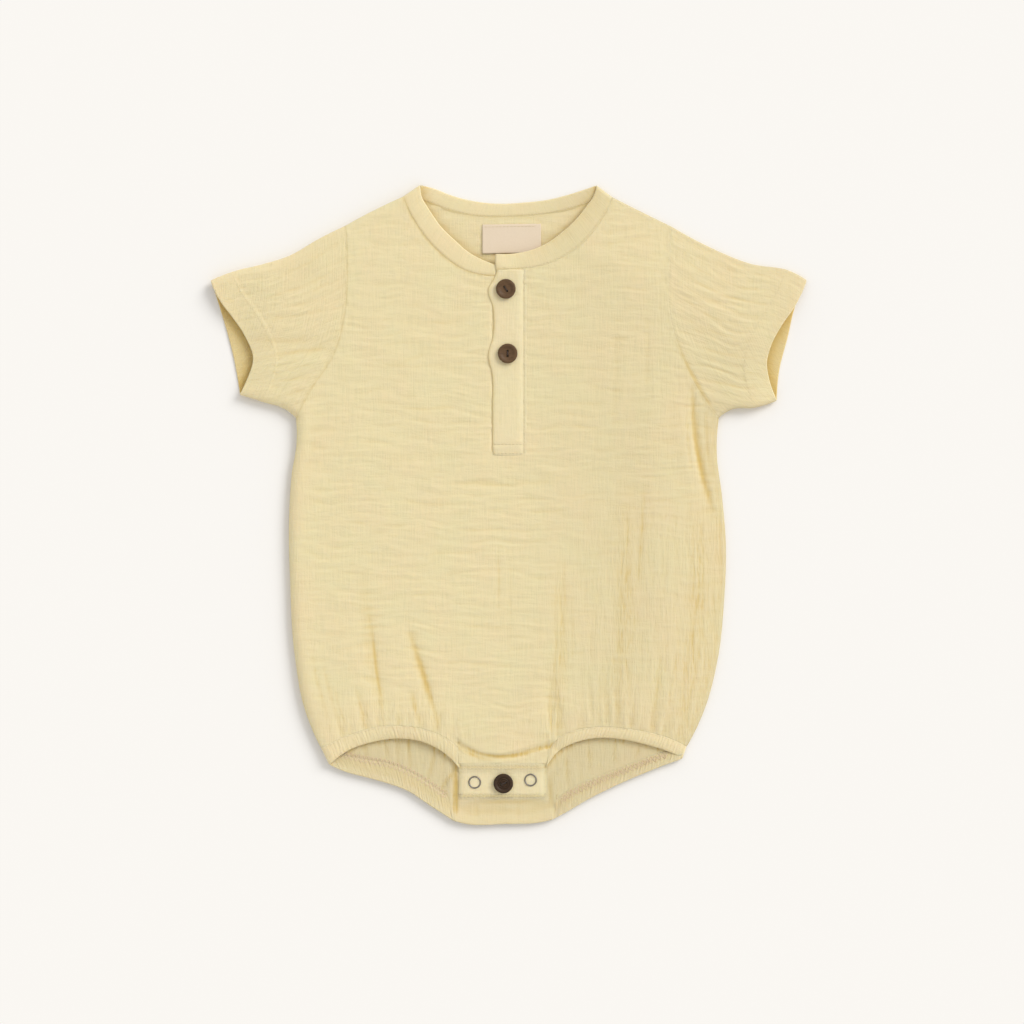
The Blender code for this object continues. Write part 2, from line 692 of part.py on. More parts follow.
def surface_under(things, x, y, reach=1.6):
    """Highest point of the things under a small square round x, y."""
    found = []
    for dx in (-reach, 0, reach):
        for dy in (-reach, 0, reach):
            for tree in things:
                hit = tree.ray_cast(Vector((x + dx, y + dy, 100)) * MM, Vector((0, 0, -1)))[0]
                if hit:
                    found.append(hit.z / MM)
    return max(found)


def tree_of(thing):
    mesh = bmesh.new()
    mesh.from_mesh(thing.data)
    tree = BVHTree.FromBMesh(mesh)
    mesh.free()
    return tree


def lay_on(name, things, plan, wall, lift=0.0):
    """A strip that is flat across and follows what lies under it, a gap above it."""
    base = np.array([[surface_under(things, *place) for place in column] for column in plan])
    base = base.max(axis=0)
    base = np.maximum.reduce([base, np.append(base[1:], base[-1]), np.insert(base[:-1], 0, base[0])])
    base = base[None] + GAP + lift
    base = np.broadcast_to(base, plan.shape[:-1])
    return wall_between(name, points(plan, base + wall), points(plan, base))


def rectangle(box, columns, rows):
    """Plan of a straight strip: left, right, bottom and top of a table row."""
    xs = np.linspace(box["left"], box["right"], columns)
    ys = np.linspace(box["bottom"], box["top"], rows)
    return np.stack(np.meshgrid(xs, ys, indexing="ij"), axis=-1)


def placket(front):
    """The under strip that peeks out on the left, and the upper strip on it."""
    under = lay_on("placket_under", [tree_of(front)], rectangle(PLACKET_UNDER, 4, 11), PLACKET_UNDER_WALL)
    ys = np.linspace(PLACKET["bottom"], PLACKET["top"] - 2 * SEAM, 19)
    edge = np.array(PLACKET_EDGE[::-1])
    left = curve(edge)(np.linspace(0, 1, 120))
    left = np.interp(ys, left[:, 1], left[:, 0])
    shares = np.array([0, 0.18, 0.6, 1.0])[:, None]
    xs = left[None] + shares * (PLACKET["right"] - left[None])
    plan = np.stack([xs, np.broadcast_to(ys, xs.shape)], axis=-1)
    bulge = smoothstep((PLACKET_LIFT["line"] - left) / PLACKET_LIFT["over"])
    lift = PLACKET_LIFT["height"] * bulge[None] * (1 - shares) ** 2
    return lay_on("placket_upper", [tree_of(front), tree_of(under)], plan, PLACKET_WALL, lift)


def crotch_tab():
    """The snap strip, sewn on the front's edge and lying on the back's extension."""
    plan = rectangle(TAB, 11, 10)
    x = plan[..., 0]
    y = plan[..., 1]
    edge = height(np.stack([x, np.full_like(x, TAB["top"] + 2 * SEAM)], axis=-1))
    rise = smoothstep((y - TAB["top"] + TAB_SLOPE) / TAB_SLOPE)
    flat = CLOTH + GAP
    under = flat + (edge - BAND - flat) * rise
    round_edge = np.where(y == TAB["bottom"], TAB_EDGE_DROP, 0.0)
    return wall_between("crotch_tab", points(plan, under + BAND - round_edge), points(plan, under))


def neck_label():
    """The bare label, lying on the inside of the back."""
    plan = rectangle(LABEL, 7, 5)
    base = np.full(plan.shape[:-1], CLOTH + GAP)
    base[0, 0] += LABEL_CURL["left"]
    base[-1, 0] += LABEL_CURL["right"]
    return wall_between("neck_label", points(plan, base + LABEL_WALL), points(plan, base), "label")


def button(name, x, y, turn, finish, things):
    """A turned button with a dished face and two holes through it."""
    radius = BUTTON_RADIUS
    base = surface_under(things, x, y, reach=0.7 * radius) + GAP
    turn = math.radians(turn)
    # The profile runs down the outer side: radius, height
    profile = (
        (0.0, BUTTON_HEIGHT - BUTTON_DISH),
        (0.5 * radius, BUTTON_HEIGHT - BUTTON_DISH),
        (0.74 * radius, BUTTON_HEIGHT - 0.1),
        (0.9 * radius, BUTTON_HEIGHT),
        (radius, BUTTON_HEIGHT - 0.6),
        (radius - 0.2, 0.5),
        (0.72 * radius, 0.0),
        (0.0, 0.0),
    )
    mesh = bpy.data.meshes.new(name)
    edges = [(i, i + 1) for i in range(len(profile) - 1)]
    mesh.from_pydata([(r * MM, 0, z * MM) for r, z in profile], edges, [])
    thing = add_object(name, mesh, finish)
    thing.location = (x * MM, y * MM, base * MM)
    screw = thing.modifiers.new("Turned", "SCREW")
    screw.steps = BUTTON_SIDES
    screw.render_steps = BUTTON_SIDES
    screw.use_merge_vertices = True
    screw.merge_threshold = 1e-6
    screw.use_normal_calculate = True
    for side in (-1, 1):
        away = side * BUTTON_HOLE_SPACING / 2
        hole = bpy.data.meshes.new(name + "_hole")
        made = bmesh.new()
        bmesh.ops.create_cone(
            made,
            cap_ends=True,
            segments=8,
            radius1=BUTTON_HOLE_RADIUS * MM,
            radius2=BUTTON_HOLE_RADIUS * MM,
            depth=3 * BUTTON_HEIGHT * MM,
        )
        made.to_mesh(hole)
        made.free()
        cutter = bpy.data.objects.new(hole.name, hole)
        cutter.location = (
            (x + away * math.cos(turn)) * MM,
            (y + away * math.sin(turn)) * MM,
            base * MM,
        )
        cutter.hide_render = True
        cutter.display_type = "WIRE"
        cutters.objects.link(cutter)
        cut = thing.modifiers.new("Thread hole", "BOOLEAN")
        cut.object = cutter
        cut.operation = "DIFFERENCE"
    return thing


def snap_ring(name, x, y, things):
    """The wire-thin ring of a prong snap that shows on the tab."""
    base = surface_under(things, x, y, reach=RING_RADIUS) + GAP + RING_WIRE
    bpy.ops.mesh.primitive_torus_add(
        major_segments=20,
        minor_segments=6,
        major_radius=RING_RADIUS * MM,
        minor_radius=RING_WIRE * MM,
        location=(x * MM, y * MM, base * MM),
    )
    made = bpy.context.object
    mesh = made.data
    bpy.data.objects.remove(made)
    ring = add_object(name, mesh, "metal")
    ring.location = (x * MM, y * MM, base * MM)
    return ring


for old in list(bpy.data.objects):
    bpy.data.objects.remove(old, do_unlink=True)
garment = bpy.data.collections.new("baby bodysuit")
cutters = bpy.data.collections.new("cutters")
bpy.context.scene.collection.children.link(garment)
bpy.context.scene.collection.children.link(cutters)

back_panel()
front = front_panel()
sleeve("sleeve_left")
sleeve("sleeve_right")
neckband()
leg_casing("leg_casing_left")
leg_casing("leg_casing_right")
strips = [placket(front), crotch_tab()]
neck_label()
trees = [tree_of(strip_piece) for strip_piece in strips]
for row in BUTTONS:
    button(**row, things=trees)
for row in RINGS:
    snap_ring(**row, things=trees)
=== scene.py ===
import math

import bmesh
import bpy
import numpy as np
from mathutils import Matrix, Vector
from mathutils.bvhtree import BVHTree


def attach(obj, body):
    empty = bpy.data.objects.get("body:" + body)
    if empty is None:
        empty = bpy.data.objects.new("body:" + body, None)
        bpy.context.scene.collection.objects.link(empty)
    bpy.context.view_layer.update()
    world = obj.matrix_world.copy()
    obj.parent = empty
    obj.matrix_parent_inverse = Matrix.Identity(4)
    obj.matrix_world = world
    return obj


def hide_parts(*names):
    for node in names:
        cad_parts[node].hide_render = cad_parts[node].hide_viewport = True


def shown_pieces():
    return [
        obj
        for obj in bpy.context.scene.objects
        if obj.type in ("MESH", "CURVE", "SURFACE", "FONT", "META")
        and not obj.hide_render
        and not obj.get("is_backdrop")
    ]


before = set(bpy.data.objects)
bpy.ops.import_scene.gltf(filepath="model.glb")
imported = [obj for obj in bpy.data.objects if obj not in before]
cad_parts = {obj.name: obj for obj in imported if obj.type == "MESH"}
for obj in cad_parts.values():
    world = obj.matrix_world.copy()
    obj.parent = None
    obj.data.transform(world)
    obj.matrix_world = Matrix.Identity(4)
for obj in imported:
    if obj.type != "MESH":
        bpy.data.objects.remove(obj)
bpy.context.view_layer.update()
mm = 0.001
print("frame loaded:", len(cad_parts), "nodes")


# ---- lines and grids ----


def smoothLine(rows):  # a smooth line through the rows, read by the share of its length
    knots = np.array(rows, float)
    chords = np.linalg.norm(np.diff(knots, axis=0), axis=1)
    at = np.concatenate([[0], np.cumsum(chords)])
    slopes = np.gradient(knots, at, axis=0, edge_order=min(2, len(knots) - 1))
    fine = np.linspace(0, at[-1], 25 * len(chords) + 1)
    part = np.clip(np.searchsorted(at, fine, side="right") - 1, 0, len(chords) - 1)
    share = ((fine - at[part]) / chords[part])[:, None]
    span = chords[part][:, None]
    points = (
        (2 * share**3 - 3 * share**2 + 1) * knots[part]
        + (share**3 - 2 * share**2 + share) * span * slopes[part]
        + (3 * share**2 - 2 * share**3) * knots[part + 1]
        + (share**3 - share**2) * span * slopes[part + 1]
    )
    length = np.concatenate([[0], np.cumsum(np.linalg.norm(np.diff(points, axis=0), axis=1))])
    length /= length[-1]

    def along(shares):
        return np.stack([np.interp(shares, length, points[:, axis]) for axis in (0, 1)], axis=-1)

    return along


def chainLines(lines, knots):  # lines end to end, each over its own stretch of shares
    def along(shares):
        shares = np.asarray(shares, float)
        found = np.zeros(shares.shape + (2,))
        for line, low, high in zip(lines, knots[:-1], knots[1:]):
            inside = (shares >= low) & (shares <= high)
            found[inside] = line((shares[inside] - low) / (high - low))
        return found

    return along


def seamOf(rows):
    return [row[:2] for row in rows]


def edgeOf(rows):
    return [row[2:] for row in rows]


def spread(knots, counts, ends=()):  # shares on each knot, with a few close ones at both ends
    parts = [np.linspace(low, high, n + 1)[:-1] for low, high, n in zip(knots[:-1], knots[1:], counts)]
    ends = np.array(ends)
    return np.unique(np.concatenate([*parts, [knots[-1]], ends, 1 - ends]))


def patchBetween(bottom, top, left, right, across, up):
    u = across[:, None, None]
    v = up[None, :, None]
    low = bottom(np.array([0.0, 1.0]))
    high = top(np.array([0.0, 1.0]))
    corners = (1 - u) * ((1 - v) * low[0] + v * high[0]) + u * ((1 - v) * low[1] + v * high[1])
    rows = (1 - v) * bottom(across)[:, None] + v * top(across)[:, None]
    columns = (1 - u) * left(up)[None] + u * right(up)[None]
    return rows + columns - corners


def stripBetween(rows, along, across):  # across runs from the seam to the free edge
    seam = smoothLine(seamOf(rows))(along)[:, None]
    edge = smoothLine(edgeOf(rows))(along)[:, None]
    return seam + across[None, :, None] * (edge - seam)


def smoothStep(share):
    share = np.clip(share, 0, 1)
    return share * share * (3 - 2 * share)


def lineDistance(plan, lines):
    flat = plan.reshape(-1, 1, 2)
    nearest = np.full(len(flat), 1e9)
    for line in lines:
        runs = np.diff(line, axis=0)
        share = ((flat - line[:-1]) * runs).sum(axis=2) / (runs**2).sum(axis=1)
        foot = line[:-1] + np.clip(share, 0, 1)[..., None] * runs
        nearest = np.minimum(nearest, np.linalg.norm(flat - foot, axis=2).min(axis=1))
    return nearest.reshape(plan.shape[:-1])


def softNoise(x, y, seed):  # smooth hills and hollows, about one to each unit square
    cellX = np.floor(x)
    cellY = np.floor(y)
    total = 0
    for dx in (0, 1):
        for dy in (0, 1):
            mixed = np.sin((cellX + dx) * 127.1 + (cellY + dy) * 311.7 + seed * 74.7) * 43758.5453
            angle = 2 * math.pi * (mixed - np.floor(mixed))
            awayX = x - cellX - dx
            awayY = y - cellY - dy
            near = smoothStep(1 - np.abs(awayX)) * smoothStep(1 - np.abs(awayY))
            total = total + near * (np.cos(angle) * awayX + np.sin(angle) * awayY)
    return total * 1.5


# ---- the cut: every row is one point of a smooth line, x and y ----

body = {
    "shoulderLeft": [(-98.1, 166.6), (-80.1, 176.3), (-63.2, 184.2)],
    "shoulderRight": [(62.2, 184.2), (77.0, 176.7), (98.1, 166.4)],
    "sideLeft": [
        (-112.5, -146.7), (-122.1, -123.9), (-128.4, -90.0), (-131.1, -45.9),
        (-131.7, -9.9), (-130.0, 18.0), (-127.2, 36.0), (-127.5, 51.3),
    ],
    "sideRight": [
        (107.1, -146.1), (117.7, -123.9), (125.6, -94.0), (129.6, -57.9),
        (130.6, -25.0), (128.2, 5.0), (125.1, 30.0), (126.3, 51.3),
    ],
    "armholeLeft": [
        (-127.5, 51.3), (-117.9, 69.9), (-105.3, 89.1), (-98.9, 111.9), (-97.0, 140.0), (-98.1, 166.6),
    ],
    "armholeRight": [
        (126.3, 51.3), (111.1, 72.5), (102.3, 92.7), (96.5, 114.3), (96.3, 140.0), (98.1, 166.4),
    ],
    "crotchEnd": [(-33.5, -189.9), (-28.0, -191.6), (-2.0, -192.2), (20.0, -191.0), (27.0, -189.2)],
    "sideShare": 0.62,  # the underarm's place along a side
    "cloth": 0.8,  # two layers of gauze
}
# Sleeves: upper and lower edges run out to the cuff, cuff lines from its upper corner down
sleeves = {
    "sleeve_left": {
        "armhole": body["armholeLeft"][::-1],
        "upper": [
            (-98.1, 166.6), (-114.3, 158.6), (-131.1, 148.9), (-149.1, 143.2), (-164.0, 139.6), (-178.5, 134.0),
        ],
        "lower": [(-127.5, 51.3), (-133.5, 56.2), (-148.5, 61.2), (-161.0, 65.2)],
        "cuffFront": [
            (-178.5, 134.0), (-172.6, 121.5), (-165.7, 112.2), (-158.5, 101.5),
            (-153.0, 86.5), (-156.5, 74.5), (-161.0, 65.2),
        ],
        "cuffBack": [(-178.5, 134.0), (-171.5, 112.0), (-165.5, 90.0), (-161.0, 65.2)],
    },
    "sleeve_right": {
        "armhole": body["armholeRight"][::-1],
        "upper": [(98.1, 166.4), (121.5, 153.8), (145.0, 144.2), (170.0, 139.4), (179.0, 134.4)],
        "lower": [(126.3, 51.3), (133.5, 56.2), (147.5, 57.4), (160.9, 61.6)],
        "cuffFront": [
            (179.0, 134.4), (171.9, 119.0), (163.4, 106.5), (157.4, 95.0),
            (154.8, 84.5), (156.2, 74.5), (160.9, 61.6),
        ],
        "cuffBack": [(179.0, 134.4), (172.5, 120.0), (167.5, 99.5), (162.5, 80.0), (160.9, 61.6)],
    },
}
# Strips: every row is one station, seam x, seam y, free edge x, free edge y
neck = {
    "frontLeft": [
        (-63.2, 184.2, -53.2, 191.2), (-60.6, 176.8, -52.4, 184.0), (-55.0, 166.6, -47.8, 176.0),
        (-47.0, 156.0, -40.5, 165.6), (-37.5, 146.8, -31.9, 157.2), (-27.9, 140.4, -24.0, 150.4),
        (-18.8, 137.4, -16.6, 146.2), (-8.0, 137.1, -7.9, 142.9),
    ],
    "frontRight": [
        (62.2, 184.2, 53.3, 191.0), (59.4, 176.0, 51.6, 185.0), (54.0, 167.0, 46.2, 177.2),
        (46.6, 157.8, 39.4, 168.9), (37.8, 150.6, 32.0, 162.2), (27.6, 144.8, 24.2, 156.4),
        (15.5, 141.4, 14.0, 151.8), (4.0, 140.3, 3.6, 149.6), (-7.4, 140.8, -7.5, 149.2),
    ],
    "back": [
        (-63.2, 184.2, -53.2, 191.2), (-50.3, 181.4, -45.1, 189.0), (-36.0, 176.2, -33.7, 184.6),
        (-22.0, 172.9, -20.0, 181.3), (-5.0, 172.1, -4.0, 179.9), (11.0, 172.8, 10.0, 180.7),
        (26.0, 174.4, 24.0, 182.3), (40.0, 177.6, 37.8, 185.8), (52.0, 181.6, 47.6, 189.0),
        (62.2, 184.2, 53.3, 191.0),
    ],
    "wall": 1.3,
    "crown": 0.3,
}
legs = {
    "leg_casing_left": {
        "front": [
            (-112.5, -146.7, -107.7, -156.5), (-98.4, -140.1, -95.5, -147.5), (-82.5, -134.8, -80.5, -142.6),
            (-66.5, -133.2, -66.0, -140.8), (-50.2, -135.4, -51.2, -142.9), (-38.5, -140.0, -40.8, -148.0),
            (-30.5, -146.2, -31.1, -156.8),
        ],
        "back": [
            (-112.5, -146.7, -107.7, -156.5), (-100.0, -151.0, -97.5, -160.9), (-86.0, -153.8, -86.0, -164.0),
            (-72.9, -156.2, -74.0, -167.3), (-60.0, -161.0, -60.4, -172.4), (-47.1, -168.8, -46.4, -181.6),
            (-36.5, -177.0, -33.5, -189.9),
        ],
    },
    "leg_casing_right": {
        "front": [
            (107.1, -146.1, 104.7, -152.8), (97.5, -141.2, 94.5, -148.0), (85.0, -137.4, 83.5, -144.6),
            (69.5, -134.8, 69.0, -141.4), (53.5, -133.8, 54.0, -140.4), (38.5, -136.6, 40.8, -142.9),
            (29.0, -141.4, 30.8, -147.8), (24.6, -147.5, 23.4, -156.8),
        ],
        "back": [
            (107.1, -146.1, 104.7, -152.8), (96.0, -148.6, 93.0, -157.0), (84.0, -152.4, 80.5, -162.0),
            (66.9, -159.2, 63.5, -169.5), (50.1, -165.6, 48.0, -177.2), (37.0, -171.8, 36.4, -184.0),
            (28.4, -178.4, 27.0, -189.2),
        ],
    },
}
tab = {"left": -29.9, "right": 22.7, "top": -156.0, "bottom": -177.5, "wall": 1.0}
placket = {
    "edge": [
        (-7.1, 140.0), (-7.6, 137.0), (-9.4, 133.6), (-11.9, 129.0), (-9.2, 117.0),
        (-9.2, 101.0), (-12.0, 89.0), (-9.7, 77.0), (-9.5, 57.0), (-9.7, 29.0),
    ],
    "right": 10.5, "top": 140.0, "bottom": 29.0,
    "underLeft": -12.4, "underTop": 136.2, "underBottom": 37.0,
    "raised": 0.75,  # how far the strip stands above the panel beside it
    "wall": 1.0,
}

# ---- how the front lies over the air inside ----

edges = {  # along a closed edge: on the left, on the flatter right, and below the right sleeve
    "rim": (5.8, 2.5, 7.0),  # height of the front
    "round": (8.0, 42.0, 10.0),  # how far in it goes on rising
    "power": (2.2, 1.5, 2.2),
    "meet": (4.4, 1.3, 5.6),  # height at which front and back meet
    "roll": (4.8, 1.5, 4.8),  # radius over which they turn towards each other
}
lay = {
    "pressed": 2.6,  # height of the front where it is pressed down
    "tucked": 4.1,  # between the belly tuck and the tab
    "tuckLength": 3.4,
    "seamDip": 0.12,
    "seamWidth": 0.9,
}
loft = [  # y, how high the air inside holds the front
    (195.0, 5.1), (165.0, 6.1), (140.0, 6.8), (100.0, 6.9), (50.0, 7.0), (0.0, 7.2),
    (-60.0, 7.4), (-100.0, 7.4), (-125.0, 7.1), (-140.0, 6.7), (-150.0, 6.3), (-200.0, 6.0),
]
presses = [  # the front is pressed down beside the crotch tab, at the leg openings and at the cuffs
    {"x": -31.0, "y": -157.0, "reachX": 17.0, "reachY": 13.0, "share": 0.7},
    {"x": 24.0, "y": -156.0, "reachX": 17.0, "reachY": 14.0, "share": 0.7},
    {"x": -73.0, "y": -146.0, "reachX": 34.0, "reachY": 13.0, "share": 0.55},
    {"x": 66.0, "y": -146.0, "reachX": 34.0, "reachY": 13.0, "share": 0.55},
    {"x": -163.0, "y": 92.0, "reachX": 16.0, "reachY": 32.0, "share": 0.65},
    {"x": 163.0, "y": 92.0, "reachX": 14.0, "reachY": 32.0, "share": 0.4},
]
bellyTuck = [
    (-34.0, -142.0), (-24.0, -148.0), (-17.0, -151.6), (-7.0, -153.2),
    (4.5, -150.9), (16.0, -147.3), (24.0, -145.0), (34.0, -146.0),
]
# Folds and creases: start, middle, end, half width, depth, how much painted shade the hollow gets
folds = [
    ((-86.1, -57.9), (-79.5, -98.1), (-74.7, -132.0), 4.5, 0.36, 0.1),
    ((-61.5, -68.0), (-52.0, -103.0), (-42.0, -136.0), 4.5, 0.44, 0.3),
    ((-58.5, -108.0), (-57.0, -119.0), (-55.0, -132.0), 4.0, 0.36, 0.2),
    ((-91.0, -108.0), (-88.0, -122.0), (-85.5, -135.0), 4.0, 0.36, 0.1),
    ((26.5, -103.0), (24.2, -125.0), (29.0, -142.0), 4.5, 0.54, 0.2),
    ((82.0, 20.0), (80.0, -20.0), (78.0, -50.0), 5.0, 0.18, 0.15),
    ((33.3, -25.0), (33.6, -55.0), (33.3, -85.0), 4.5, 0.18, 0.1),
    ((57.0, -92.0), (55.0, -112.0), (55.5, -132.0), 5.0, 0.30, 0.1),
    ((92.0, -88.0), (89.0, -112.0), (84.0, -134.0), 5.0, 0.30, 0.1),
    ((109.0, 78.0), (113.0, 30.0), (122.0, -8.0), 4.0, 0.54, 0.25),
    ((-108.0, 70.0), (-117.0, 48.0), (-119.0, 22.0), 5.0, 0.24, 0.0),
    ((-156.0, 90.0), (-132.0, 97.0), (-106.0, 94.0), 6.0, 0.75, 0.05),
    ((155.0, 90.0), (137.0, 92.0), (112.0, 84.0), 5.0, 0.24, 0.0),
]
creases = [
    # left leg
    ((-88.0, -20.0), (-84.0, -80.0), (-80.0, -134.0), 6.0, 0.10, 0.22),
    ((-84.5, -60.0), (-79.0, -98.0), (-74.6, -132.5), 1.2, 0.22, 1.00),
    ((-60.5, -73.0), (-50.0, -105.0), (-41.0, -136.0), 2.0, 0.32, 1.10),
    ((-58.0, -112.0), (-56.5, -121.0), (-54.2, -131.0), 1.6, 0.22, 0.65),
    ((-91.0, -111.0), (-88.3, -124.0), (-85.5, -136.0), 1.3, 0.19, 0.45),
    ((-86.0, -118.0), (-84.0, -127.0), (-82.0, -135.0), 1.3, 0.14, 0.35),
    ((-68.0, -120.0), (-66.5, -127.0), (-66.0, -133.0), 1.3, 0.11, 0.30),
    ((-48.0, -122.0), (-46.0, -130.0), (-44.0, -137.5), 1.3, 0.17, 0.40),
    ((-112.0, -90.0), (-108.0, -116.0), (-99.0, -138.0), 1.3, 0.14, 0.35),
    ((-119.0, -84.0), (-114.0, -114.0), (-104.0, -141.0), 1.3, 0.14, 0.35),
    ((-105.0, -108.0), (-101.5, -124.0), (-95.0, -138.0), 1.3, 0.14, 0.30),
    # over and beside the tab
    ((-34.0, -141.0), (-8.0, -162.0), (32.0, -142.0), 1.3, 0.42, 1.30),
    ((-34.0, -144.0), (-22.0, -153.0), (-8.0, -154.0), 1.4, 0.30, 0.90),
    ((2.0, -152.5), (26.0, -141.0), (34.0, -151.0), 1.2, 0.40, 1.00),
    ((26.5, -106.0), (23.0, -126.0), (27.5, -143.0), 1.3, 0.24, 0.55),
    ((31.0, -118.0), (30.0, -131.0), (33.5, -140.0), 1.3, 0.17, 0.35),
    # right side: soft bands of fine upright crinkles
    ((31.0, -30.0), (31.5, -92.0), (29.5, -150.0), 5.0, 0.12, 0.48),
    ((71.0, 18.0), (72.0, -60.0), (65.0, -134.0), 6.0, 0.12, 0.46),
    ((112.0, 6.0), (119.0, -60.0), (102.0, -137.0), 6.0, 0.15, 0.50),
    ((81.5, 15.0), (79.5, -22.0), (78.0, -48.0), 1.3, 0.16, 0.55),
    ((33.3, -30.0), (33.8, -58.0), (33.0, -84.0), 1.3, 0.12, 0.40),
    ((38.0, -50.0), (39.6, -70.0), (37.5, -100.0), 1.4, 0.10, 0.30),
    ((27.5, -60.0), (29.0, -96.0), (25.5, -126.0), 1.3, 0.10, 0.28),
    ((63.0, -54.0), (63.5, -94.0), (58.5, -134.0), 1.4, 0.10, 0.22),
    ((74.5, -70.0), (74.0, -104.0), (69.0, -134.0), 1.4, 0.10, 0.22),
    ((92.0, -84.0), (90.5, -112.0), (84.5, -136.0), 1.4, 0.12, 0.20),
    ((103.0, -70.0), (101.0, -106.0), (91.5, -137.0), 1.3, 0.16, 0.30),
    ((112.0, -52.0), (109.5, -100.0), (97.5, -139.0), 1.4, 0.18, 0.34),
    ((118.5, -40.0), (117.0, -92.0), (102.5, -141.0), 1.3, 0.16, 0.30),
    ((110.5, 74.0), (109.5, 34.0), (122.5, -4.0), 1.6, 0.50, 1.15),
    ((106.5, 66.0), (107.0, 40.0), (110.0, 18.0), 1.3, 0.20, 0.35),
    ((113.0, 58.0), (112.0, 30.0), (124.0, -8.0), 3.6, 0.10, 0.50),
    ((127.0, 50.0), (111.0, 72.0), (100.5, 98.0), 1.7, 0.20, 0.85),
    ((119.0, 62.0), (117.5, 42.0), (122.0, 16.0), 1.3, 0.20, 0.35),
    ((64.0, 118.0), (66.0, 84.0), (63.0, 44.0), 3.0, 0.15, 0.10),
    ((84.0, 120.0), (82.0, 92.0), (84.0, 62.0), 2.2, 0.15, 0.10),
    # middle
    ((-6.2, -22.0), (-5.4, -44.0), (-6.0, -66.0), 1.3, 0.15, 0.30),
    ((1.2, -18.0), (1.0, -60.0), (0.4, -100.0), 1.3, 0.08, 0.12),
    ((-42.0, 13.0), (-8.0, 9.0), (40.0, 15.5), 3.0, 0.42, 0.15),
    ((-70.0, 33.0), (-45.0, 27.5), (-22.0, 30.0), 1.5, 0.17, 0.10),
    ((-66.0, 1.5), (-45.0, -2.0), (-28.0, 1.0), 1.4, 0.20, 0.10),
    ((-36.0, -14.0), (-20.0, -17.5), (-3.0, -15.5), 1.3, 0.21, 0.12),
    ((-48.0, -29.5), (-28.0, -31.0), (-10.0, -27.0), 1.3, 0.20, 0.10),
    ((-104.0, -8.0), (-88.0, -14.0), (-72.0, -13.0), 1.4, 0.15, 0.10),
    ((-110.0, -38.0), (-94.0, -44.0), (-80.0, -40.0), 1.4, 0.15, 0.10),
    ((4.0, -3.5), (20.0, -7.0), (36.0, -3.0), 1.4, 0.20, 0.10),
    ((2.0, -21.0), (16.0, -24.5), (31.0, -20.0), 1.3, 0.17, 0.10),
    ((-30.0, -72.0), (-12.0, -76.0), (8.0, -73.0), 1.4, 0.15, 0.10),
    ((-26.0, -96.0), (-8.0, -99.0), (12.0, -95.0), 1.5, 0.17, 0.10),
    # chest
    ((-60.0, 110.0), (-44.0, 107.0), (-30.0, 109.0), 1.4, 0.15, 0.10),
    ((-78.0, 84.0), (-58.0, 80.0), (-36.0, 84.0), 1.5, 0.17, 0.10),
    ((-72.0, 58.0), (-50.0, 55.0), (-26.0, 59.0), 1.5, 0.17, 0.10),
    ((26.0, 92.0), (42.0, 89.0), (58.0, 93.0), 1.4, 0.15, 0.10),
    ((24.0, 62.0), (44.0, 58.0), (66.0, 62.0), 1.5, 0.15, 0.10),
    # left sleeve
    ((-153.0, 86.5), (-132.0, 91.0), (-103.0, 93.5), 1.6, 0.21, 0.33),
    ((-156.0, 97.0), (-136.0, 99.0), (-120.0, 98.0), 2.4, 0.19, 0.21),
    ((-146.0, 79.0), (-128.0, 82.5), (-108.0, 84.5), 1.3, 0.14, 0.21),
    ((-143.0, 72.0), (-127.0, 75.0), (-112.0, 76.0), 1.3, 0.13, 0.18),
    ((-137.0, 66.0), (-127.0, 67.5), (-118.0, 68.0), 1.3, 0.10, 0.15),
    ((-150.0, 108.0), (-128.0, 111.0), (-104.0, 118.0), 1.3, 0.10, 0.12),
    ((-152.0, 120.0), (-128.0, 128.0), (-103.0, 140.0), 1.3, 0.09, 0.12),
    ((-156.0, 131.0), (-130.0, 139.0), (-104.0, 152.0), 1.3, 0.09, 0.12),
    # right sleeve
    ((103.0, 150.0), (118.0, 132.0), (160.0, 126.0), 1.3, 0.09, 0.21),
    ((102.0, 144.0), (116.0, 124.0), (158.0, 118.5), 1.3, 0.10, 0.24),
    ((101.0, 136.0), (116.0, 115.0), (160.0, 110.5), 1.3, 0.08, 0.18),
    ((101.0, 128.0), (118.0, 107.0), (156.0, 103.5), 1.3, 0.08, 0.18),
    ((103.0, 112.0), (124.0, 99.0), (153.0, 96.5), 1.3, 0.09, 0.21),
    ((107.0, 98.0), (126.0, 88.0), (152.0, 86.5), 1.3, 0.10, 0.24),
    ((112.0, 86.0), (130.0, 78.0), (150.0, 77.5), 1.3, 0.09, 0.21),
    ((119.0, 75.0), (134.0, 69.0), (150.0, 69.5), 1.3, 0.08, 0.18),
    ((108.0, 158.0), (128.0, 143.0), (164.0, 134.0), 1.3, 0.06, 0.12),
]


def sampled(rows, count=24):
    return smoothLine(rows)(np.linspace(0, 1, count))


closedEdges = [
    sampled(rows)
    for rows in (
        body["shoulderLeft"], body["shoulderRight"], body["sideLeft"], body["sideRight"],
        sleeves["sleeve_left"]["upper"], sleeves["sleeve_left"]["lower"],
        sleeves["sleeve_right"]["upper"], sleeves["sleeve_right"]["lower"],
    )
] + [
    np.array([ends[:2], ends[2:]])
    for ends in (
        neck["back"][0], neck["back"][-1],
        legs["leg_casing_left"]["front"][0], legs["leg_casing_right"]["front"][0],
    )
]
frontSeams = [
    sampled(rows)
    for rows in (
        body["armholeLeft"], body["armholeRight"], seamOf(neck["frontLeft"]), seamOf(neck["frontRight"]),
    )
]
backSeams = [
    sampled(rows)
    for rows in (
        seamOf(neck["back"]), seamOf(legs["leg_casing_left"]["back"]), seamOf(legs["leg_casing_right"]["back"]),
    )
]


